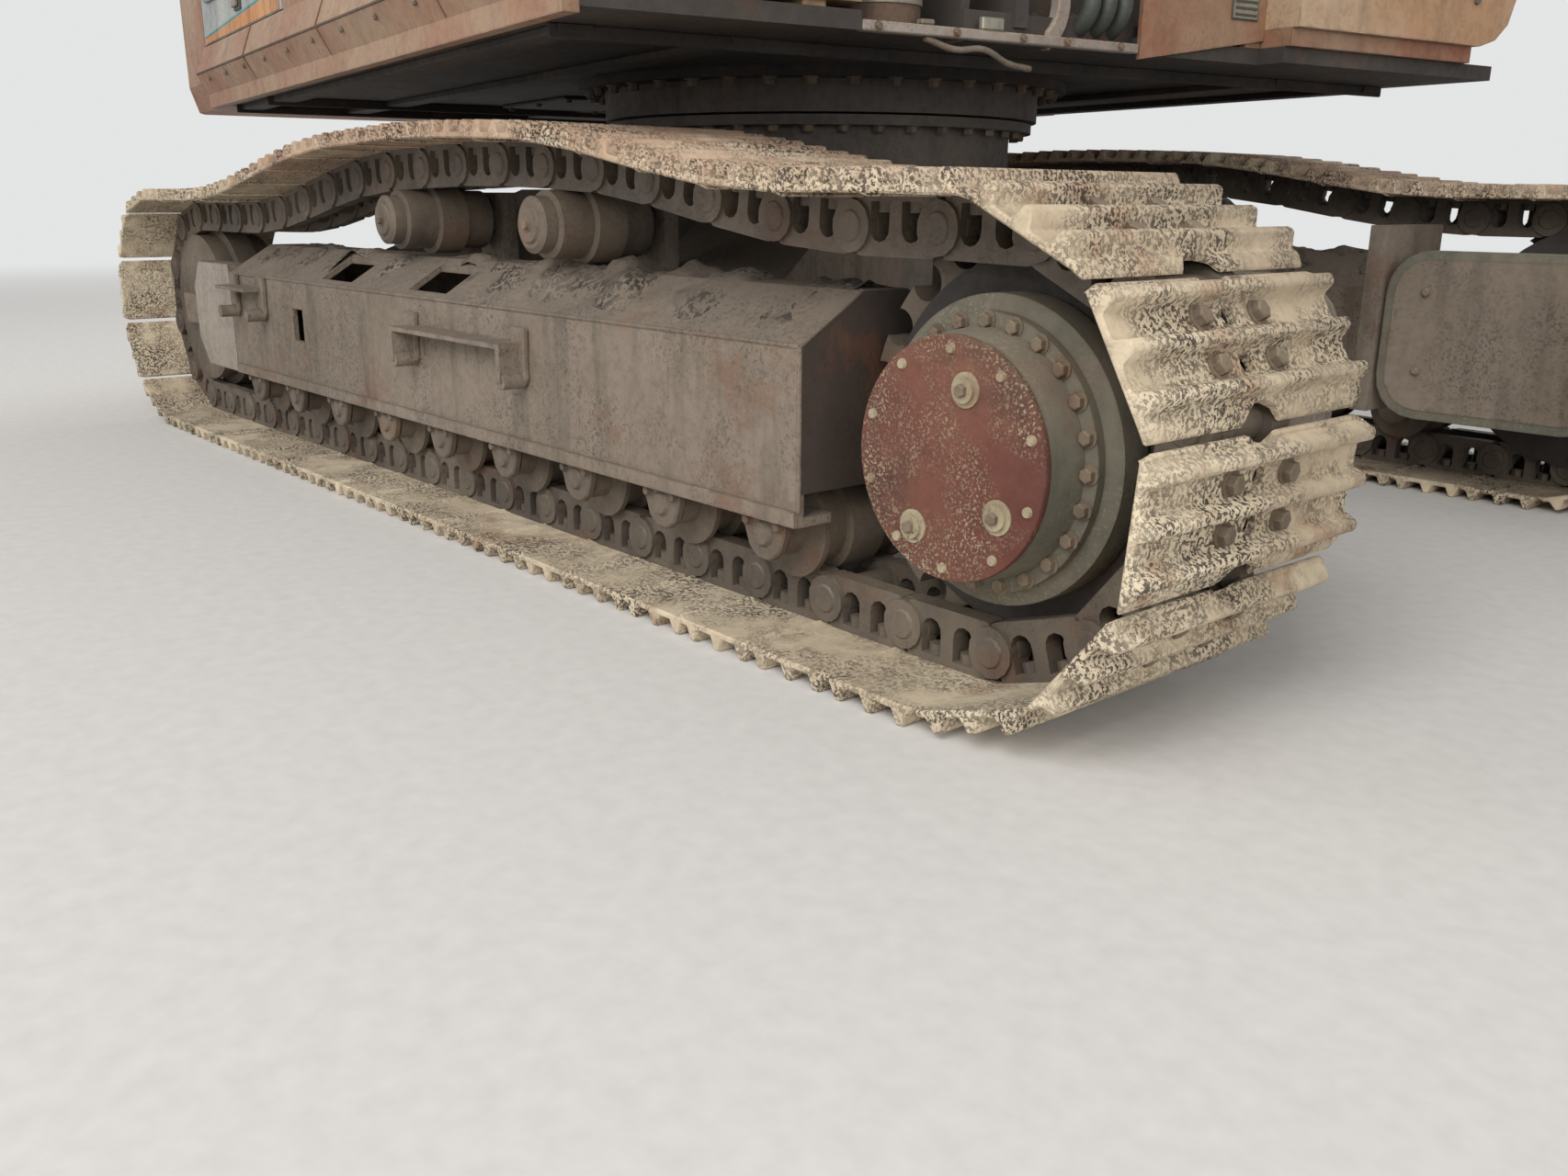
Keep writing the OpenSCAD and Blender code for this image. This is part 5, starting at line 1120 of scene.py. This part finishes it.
pieces += [hose([(0.700, 1.482, 1.560), (0.715, 1.530, 1.600), (0.715, 1.530, 2.420), (0.700, 1.482, 2.460)],
                0.014, rail_enamel),
           hose([(1.470, 1.455, 1.700), (1.520, 1.470, 1.740), (1.500, 1.500, 2.180), (1.440, 1.470, 2.220)],
                0.013, rail_enamel),
           rod((1.380, 1.480, 2.420), (1.420, 1.570, 2.430), 0.010, black_steel),
           block((1.395, 1.545, 2.300), (1.435, 1.665, 2.560), black_steel, 0.016),
           block((1.3905, 1.557, 2.315), (1.3955, 1.653, 2.545), mirror_glass, 0.002),
           block((-0.300, 0.70, 3.1452), (0.050, 1.29, 3.172), cab_enamel, 0.012),
           block((0.15, 0.70, 3.1455), (0.70, 0.73, 3.160), black_steel), block((0.15, 1.26, 3.1455),
                                                                                (0.70, 1.29, 3.160), black_steel)]
pieces += [block((CAB_REAR - 0.010, 0.66 + 0.09 * k, 1.72), (CAB_REAR - 0.0005, 0.72 + 0.09 * k, 1.96),
                 black_steel) for k in range(8)]
pieces += [rod((1.4572, y, 1.42), (1.466, y, 1.42), 0.012, bolt_steel, 12) for y in (0.62, 0.95, 1.28)]
pieces.append(rod((1.4575, 0.56, 1.690), (1.4575, 1.43, 1.690), 0.004, flue_steel, 6))
finish(joined(pieces, "cab_fittings"), "upper")

pieces = framed([(x, CAB_OUT + 0.001, z) for x, z in ((-0.255, 2.000), (-0.255, 2.950), (0.565, 2.950),
                                                      (0.565, 2.000))], 0.009)
pieces += [block((0.520, CAB_OUT, 1.760), (0.620, CAB_OUT + 0.008, 1.830), black_steel, 0.004),
           hose([(0.530, CAB_OUT + 0.006, 1.795), (0.545, CAB_OUT + 0.030, 1.795), (0.595, CAB_OUT + 0.030, 1.795),
                 (0.610, CAB_OUT + 0.006, 1.795)], 0.008, rail_enamel),
           block((-0.250, CAB_OUT - 0.0005, 1.520), (0.570, CAB_OUT + 0.003, 1.900), cab_enamel, 0.002),
           block((-0.240, CAB_OUT - 0.028, 2.440), (0.555, CAB_OUT - 0.020, 2.462), black_steel),
           block((-0.249, CAB_OUT - 0.032, 1.992), (0.559, CAB_OUT - 0.026, 2.956), pane_glass, 0.0005)]
finish(joined(pieces, "cab_door_fittings"), "cab_door")

# %% [markdown]
# The lever consoles hang beside the seat. A lever is a boot of stacked rings, a stalk and a
# shaped grip.

# %% Consoles, levers, pedals and screen
def lever(x, y):
    parts = [rod((x, y, 1.905 + 0.016 * k), (x, y, 1.921 + 0.016 * k), 0.036 - 0.005 * k, hose_rubber, 16,
                 0.029 - 0.005 * k)
             for k in range(4)]
    parts += [rod((x, y, 1.960), (x + 0.010, y, 2.040), 0.008, black_steel, 10),
              rod((x + 0.010, y, 2.035), (x + 0.022, y, 2.135), 0.019, trim_plastic, 16, 0.023),
              rod((x + 0.022, y, 2.135), (x + 0.026, y, 2.160), 0.023, trim_plastic, 16, 0.014)]
    return parts

pieces = [block((-0.30, 0.60, 1.336), (1.36, 1.30, 1.346), hose_rubber, 0.004)]
for y in (0.600, 1.290):
    pieces += [block((-0.10, y, 1.700), (0.55, y + 0.105, 1.905), trim_plastic, 0.03),
               block((0.02, y + 0.018, 1.350), (0.20, y + 0.088, 1.705), trim_plastic, 0.012)]
    pieces += lever(0.46, y + 0.052)
    pieces += [rod((0.10 + 0.05 * k, y + 0.052, 1.904), (0.10 + 0.05 * k, y + 0.052, 1.916), 0.012, black_steel,
                   12) for k in range(4)]
for y in (0.88, 1.06):
    pieces += [block((1.02, y - 0.045, 1.385), (1.24, y + 0.045, 1.400), grip_steel, 0.004),
               rod((1.13, y, 1.346), (1.13, y, 1.390), 0.020, black_steel),
               rod((1.16, y, 1.400), (1.10, y, 1.760), 0.010, black_steel, 10),
               rod((1.10, y, 1.760), (1.085, y, 1.850), 0.018, trim_plastic, 14)]
pieces += [block((1.02, 0.560, 1.980), (1.06, 0.700, 2.180), trim_plastic, 0.010),
           block((1.0140, 0.575, 1.998), (1.0205, 0.688, 2.160), mirror_glass, 0.002),
           rod((1.04, 0.60, 1.700), (1.04, 0.60, 1.990), 0.014, black_steel),
           block((-0.40, 0.62, 1.345), (-0.23, 1.37, 1.960), trim_plastic, 0.03),
           block((-0.35, 0.64, 3.040), (0.06, 1.35, 3.092), trim_plastic, 0.015),
           block((1.24, 0.60, 1.345), (1.40, 1.30, 1.400), trim_plastic, 0.010)]
finish(joined(pieces, "cab_inside"), "upper")

# %% [markdown]
# ## The seat
# A sprung seat: a bellows base, two pressed shells and three foam cushions covered in cloth. Each
# cushion starts as a block with rounded edges and enough cuts to bend. Its face is crowned, pressed
# in along the sewn channels and smoothed by one subdivision.

# %% Seat
def cushion(name, lo, hi, face, crown, channels):
    """face is the axis and sign of the soft side; channels are places across the seat."""
    body = cuboid(lo, hi, name)
    only(body)
    bpy.ops.object.mode_set(mode="EDIT")
    bpy.ops.mesh.select_all(action="SELECT")
    bpy.ops.mesh.bevel(offset=0.022, segments=3, affect="EDGES")
    bpy.ops.mesh.subdivide(number_cuts=1)
    bpy.ops.mesh.select_all(action="SELECT")
    for axis, count in ((0, 9), (1, 13), (2, 9)):
        normal = [0, 0, 0]
        normal[axis] = 1
        for k in range(1, count):
            where = [0, 0, 0]
            where[axis] = lo[axis] + (hi[axis] - lo[axis]) * k / count
            bpy.ops.mesh.select_all(action="SELECT")
            bpy.ops.mesh.bisect(plane_co=where, plane_no=normal)
    done()
    axis, sign = face
    others = [k for k in range(3) if k != axis]
    for v in body.data.vertices:
        depth = (v.co[axis] - lo[axis]) / (hi[axis] - lo[axis])
        depth = depth if sign > 0 else 1 - depth
        if depth < 0.45:
            continue
        u, w = (2 * (v.co[k] - lo[k]) / (hi[k] - lo[k]) - 1 for k in others)
        swell = crown * (1 - u ** 4) * (1 - w ** 4)
        across = v.co.y
        pressed = sum(max(0.0, 1 - abs(across - c) / 0.016) for c in channels) * 0.010
        v.co[axis] += sign * (swell - pressed) * (depth - 0.45) / 0.55
    mod = body.modifiers.new("smooth", "SUBSURF")
    mod.levels = mod.render_levels = 1
    only(body)
    bpy.ops.object.modifier_apply(modifier=mod.name)
    smooth(body, 80)
    finish(body, "upper", [seat_cloth])
    return body

seat_channels = (0.845, 1.135)
cushions = [cushion("seat_cushion", (-0.115, 0.715, 1.585), (0.435, 1.265, 1.682), (2, 1), 0.016, seat_channels),
            cushion("seat_back_cushion", (-0.150, 0.735, 1.720), (-0.072, 1.245, 2.215), (0, 1), 0.012,
                    seat_channels),
            cushion("seat_head_cushion", (-0.150, 0.860, 2.245), (-0.080, 1.120, 2.390), (0, 1), 0.010, ())]
pieces = [block((-0.118, 0.712, 1.5590), (0.438, 1.268, 1.584), trim_plastic, 0.010),
          block((-0.188, 0.732, 1.642), (-0.152, 1.248, 2.300), trim_plastic, 0.014),
          block((-0.186, 0.900, 2.300), (-0.152, 1.080, 2.370), trim_plastic, 0.010),
          block((-0.075, 0.745, 1.3505), (0.415, 1.235, 1.395), black_steel, 0.008),
          block((-0.075, 0.745, 1.520), (0.415, 1.235, 1.558), black_steel, 0.008)]
pieces += [block((-0.060 + 0.010 * (k % 2), 0.760 + 0.010 * (k % 2), 1.396 + 0.0205 * k),
                 (0.400 - 0.010 * (k % 2), 1.220 - 0.010 * (k % 2),
                  1.416 + 0.0205 * k), hose_rubber, 0.006) for k in range(6)]
for y in (0.712, 1.236):
    pieces.append(block((-0.160, y, 1.820), (0.160, y + 0.032, 1.868), trim_plastic, 0.014))
frame_of_seat = joined(pieces, "seat_frame")
finish(frame_of_seat, "upper")
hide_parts("seat")
# %% [markdown]
# ## Boom, arm and bucket
# The boom, the arm and the bucket lie outside the picture and are finished from the type. Each is
# drawn along its own line, as in the CAD source, and then turned to its parked place.

# %% Places along the boom, the arm and the bucket
BOOM_LEN, ARM_LEN, ARM_DROP, PIN_Z = 6.500, 3.200, radians(110), 0.998
TIP_Z = PIN_Z + ARM_LEN * sin(ARM_DROP)
RISE = atan2((TIP_Z - 2.0) / BOOM_LEN, sqrt(1 - ((TIP_Z - 2.0) / BOOM_LEN) ** 2))
TIP_X = 0.200 + BOOM_LEN * cos(RISE)
ON_BOOM = Matrix.Translation((0.200, 0, 2.000)) @ Matrix.Rotation(-RISE, 4, "Y")
ON_ARM = Matrix.Translation((TIP_X, 0, TIP_Z)) @ Matrix.Rotation(ARM_DROP, 4, "Y")
PIN_X = TIP_X + ARM_LEN * cos(ARM_DROP)
ON_BUCKET = Matrix.Translation((PIN_X, 0, PIN_Z))
print("boom rises", round(degrees(RISE), 2), "degrees, bucket pin at", round(PIN_X, 3), PIN_Z)

def pin_cap(x, z, y, radius=0.062):
    """A keeper plate with two bolts over a pin's end, on the outer side of y."""
    side = 1 if y > 0 else -1
    parts = [rod((x, y, z), (x, y + side * 0.012, z), radius, cylinder_enamel, 28)]
    parts.append(rod((x, y + side * 0.012, z), (x, y + side * 0.017, z), 0.016, bolt_steel, 12))
    turn = TO_LEFT if side > 0 else TO_RIGHT
    parts.append(bolts([at(x + dx, y + side * 0.012, z, turn) for dx in (-0.036, 0.036)], 0.010, 0.009))
    return parts

def lines(points, ys, radius, clamps, material):
    """Steel pipes side by side along the same course, with clamp bars across them."""
    parts = [hose([(x, y, z) for x, z in points], radius, material) for y in ys]
    for x, z in clamps:
        parts.append(block((x - 0.020, min(ys) - 0.030, z - 0.020), (x + 0.020, max(ys) + 0.030, z + 0.018),
                           black_steel, 0.004))
    return parts

# %% Boom fittings
pieces = []
boom_half = 0.240
for side in (-1, 1):
    pieces += pin_cap(BOOM_LEN, 0, side * 0.2602) + pin_cap(0, 0, side * 0.3602) + pin_cap(2.750, 1.650,
                                                                                           side * 0.0952, 0.050)
pieces += lines([(0.55, 0.560), (1.00, 0.775), (2.30, 1.350), (2.42, 1.415)], (-0.09, -0.03, 0.03, 0.09), 0.016,
                ((0.80, 0.690), (1.40, 0.965), (2.00, 1.230)), rail_enamel)
pieces += lines([(3.55, 1.290), (4.60, 0.850), (5.50, 0.470), (5.85, 0.320)], (-0.14, -0.08, 0.08, 0.14), 0.016,
                ((3.95, 1.130), (4.70, 0.818), (5.40, 0.525)), rail_enamel)
for side in (-1, 1):
    y = side * (boom_half + 0.0002)
    seam = [(0.45, 0.485), (2.50, 1.375), (3.10, 1.385), (3.38, 1.318), (6.40, 0.195)]
    pieces += [rod((a[0], y, a[1]), (b[0], y, b[1]), 0.006, body_enamel, 6) for a, b in zip(seam, seam[1:])]
    seam = [(0.50, 0.085), (2.50, 0.675), (3.30, 0.675), (6.35, -0.155)]
    pieces += [rod((a[0], y, a[1]), (b[0], y, b[1]), 0.006, body_enamel, 6) for a, b in zip(seam, seam[1:])]
    pieces.append(block((2.20, y - 0.004, 0.93), (2.60, y + 0.004, 1.16), body_enamel, 0.003))
    pieces += [block((2.62, side * 0.254 - 0.012, 0.86), (2.74, side * 0.254 + 0.012, 0.90), black_steel, 0.003),
               block((2.66, side * 0.285 - 0.043, 0.90), (2.74, side * 0.285 + 0.043, 0.99), black_steel, 0.012),
               block((2.7405, side * 0.285 - 0.035, 0.910), (2.7455, side * 0.285 + 0.035, 0.980), mirror_glass, 0.003)]
for p in pieces:
    placed(p, ON_BOOM)
finish(joined(pieces, "boom_fittings"), "boom")

# %% Arm fittings
pieces = lines([(-0.20, 0.475), (0.15, 0.465), (0.24, 0.455)], (-0.16, 0.16), 0.014, ((-0.05, 0.475),), rail_enamel)
pieces += lines([(0.80, 0.380), (1.60, 0.300), (2.40, 0.222)], (-0.10, 0.10), 0.014,
                ((1.10, 0.350), (2.00, 0.262)), rail_enamel)
arm_half = 0.165
for side in (-1, 1):
    pieces += pin_cap(0.420, 0.560, side * 0.1122, 0.050)
    y = side * (arm_half + 0.0002)
    seam = [(-0.50, 0.455), (0.25, 0.425), (2.58, 0.178), (3.12, 0.120)]
    pieces += [rod((a[0], y, a[1]), (b[0], y, b[1]), 0.005, body_enamel, 6) for a, b in zip(seam, seam[1:])]
    seam = [(-0.24, -0.115), (-0.09, -0.200), (0.34, -0.215), (3.00, -0.118)]
    pieces += [rod((a[0], y, a[1]), (b[0], y, b[1]), 0.005, body_enamel, 6) for a, b in zip(seam, seam[1:])]
for p in pieces:
    placed(p, ON_ARM)
finish(joined(pieces, "arm_fittings"), "arm")

# %% [markdown]
# A digging tooth is a cast point on an adapter welded to the lip. Wear bars run under the bowl,
# and cutters are bolted to its sides.

# %% Bucket fittings
LIP_X, LIP_Z2 = -1.150, -0.997
tooth = plate([(LIP_X + 0.010, LIP_Z2 + 0.002), (LIP_X + 0.240, LIP_Z2 + 0.001), (LIP_X + 0.300, LIP_Z2 + 0.030),
               (LIP_X + 0.280, LIP_Z2 + 0.085), (LIP_X + 0.200, LIP_Z2 + 0.100), (LIP_X + 0.150, LIP_Z2 + 0.075)],
              -0.056, 0.056, "tooth")
dressed(rounded(tooth, 0.010, 2), digging_steel)
keeper = rod((LIP_X + 0.150, -0.062, LIP_Z2 + 0.045), (LIP_X + 0.150, 0.062, LIP_Z2 + 0.045), 0.014, bolt_steel, 12)
teeth = repeated(joined([tooth, keeper], "tooth"), [at(0, 0.300 * i, 0) for i in range(-2, 3)], "teeth")
pieces = [teeth]
bowl = (-0.105, 0.476 - 0.997)
for y in (-0.58, -0.30, 0.0, 0.30, 0.58):
    arc_points = [(bowl[0] + 0.4775 * cos(radians(a)), y,
                   bowl[1] + 0.4775 * sin(radians(a))) for a in range(-84, -9, 15)]
    pieces += [rod(a, b, 0.011, digging_steel, 8) for a, b in zip(arc_points, arc_points[1:])]
for side in (-1, 1):
    y = side * 0.6502
    cutter = plate([(-0.980, -0.850), (-0.900, -0.700), (-0.640, -0.480), (-0.560, -0.520), (-0.700, -0.700),
                    (-0.840, -0.900)],
                   min(y, y + side * 0.022), max(y, y + side * 0.022), "cutter")
    pieces.append(dressed(rounded(cutter, 0.005, 1), digging_steel))
    turn = TO_LEFT if side > 0 else TO_RIGHT
    pieces.append(bolts([at(x, y + side * 0.022, z, turn) for x,
                         z in ((-0.87, -0.80), (-0.78, -0.68), (-0.66, -0.57))], 0.016, 0.014))
    weld = [(-0.58, -0.47), (-0.29, -0.175), (-0.20, -0.12)]
    pieces += [rod((a[0], y, a[1]), (b[0], y, b[1]), 0.007, digging_steel, 6) for a, b in zip(weld, weld[1:])]
for p in pieces:
    placed(p, ON_BUCKET)
finish(joined(pieces, "bucket_fittings"), "bucket")

# %% [markdown]
# A cylinder has a gland ring held by bolts, two ports joined by a hard pipe along the barrel,
# and two clamp bands. They are placed from the barrel's foot and heading.

# %% Cylinder fittings
def on_line(foot, end, y=0.0):
    angle = atan2(end[1] - foot[1], end[0] - foot[0])
    return Matrix.Translation((foot[0], y, foot[1])) @ Matrix.Rotation(-angle, 4, "Y")

def boom_spot(x, z):
    p = ON_BOOM @ Vector((x, 0, z))
    return p.x, p.z

def arm_spot(x, z):
    p = ON_ARM @ Vector((x, 0, z))
    return p.x, p.z

def barrel_fittings(length, matrix):
    gland = minus(bar((length - 0.002, 0, 0), (length + 0.004, 0, 0), 0.080, 32),
                  bar((length - 0.010, 0, 0), (length + 0.020, 0, 0), 0.058, 32))
    parts = [dressed(smooth(gland), cylinder_enamel),
             block((0.23, -0.035, 0.080), (0.31, 0.035, 0.118), cylinder_enamel, 0.006),
             block((length - 0.10, -0.035, 0.084), (length - 0.02, 0.035, 0.122), cylinder_enamel, 0.006),
             hose([(0.31, 0, 0.105), (0.50, 0.0, 0.106), (length - 0.30, 0.0, 0.106),
                   (length - 0.10, 0, 0.108)], 0.012, rail_enamel)]
    parts.append(bolts([Matrix.Translation((length + 0.004, 0.067 * cos(radians(30 + 60 * k)),
                                            0.067 * sin(radians(30 + 60 * k)))) @ TO_FRONT
                        for k in range(6)], 0.009, 0.005))
    for x in (0.45, length * 0.55):
        band = minus(bar((x, 0, 0), (x + 0.035, 0, 0), 0.0885, 32), bar((x - 0.01, 0, 0), (x + 0.045, 0, 0), 0.078, 32))
        parts.append(smooth(dressed(band, black_steel)))
    return [placed(p, matrix) for p in parts]

lift_foot, lift_end = (1.230, 1.560), boom_spot(2.950, 0.800)
pieces = [p for y in (-0.400, 0.400) for p in barrel_fittings(1.665, on_line(lift_foot, lift_end, y))]
finish(joined(pieces, "boom_barrel_fittings"), "boom_barrels")

def rod_eye(x, z, y, half):
    """Paint over the eye of a rod."""
    return [rod((x, y - half, z), (x, y + half, z), 0.0965, cylinder_enamel, 40)]

pieces = [p for side in (-1, 1) for p in rod_eye(*lift_end, side * 0.400, 0.0526) + pin_cap(*lift_end,
                                                                                            side * 0.4528, 0.070)]
finish(joined(pieces, "boom_rod_eyes"), "boom_rods")
crowd_foot, crowd_end = boom_spot(2.750, 1.650), arm_spot(-0.820, 0.330)
finish(joined(barrel_fittings(2.150, on_line(crowd_foot, crowd_end)), "arm_barrel_fittings"), "arm_barrel")
finish(joined(rod_eye(*crowd_end, 0, 0.0605), "arm_rod_eye"), "arm_rod")
link_top = (6.06262, 1.12788)
finish(joined(barrel_fittings(1.600, on_line(arm_spot(0.420, 0.560), link_top)), "bucket_barrel_fittings"),
       "bucket_barrel")
finish(joined(rod_eye(*link_top, 0, 0.0605), "bucket_rod_eye"), "bucket_rod")
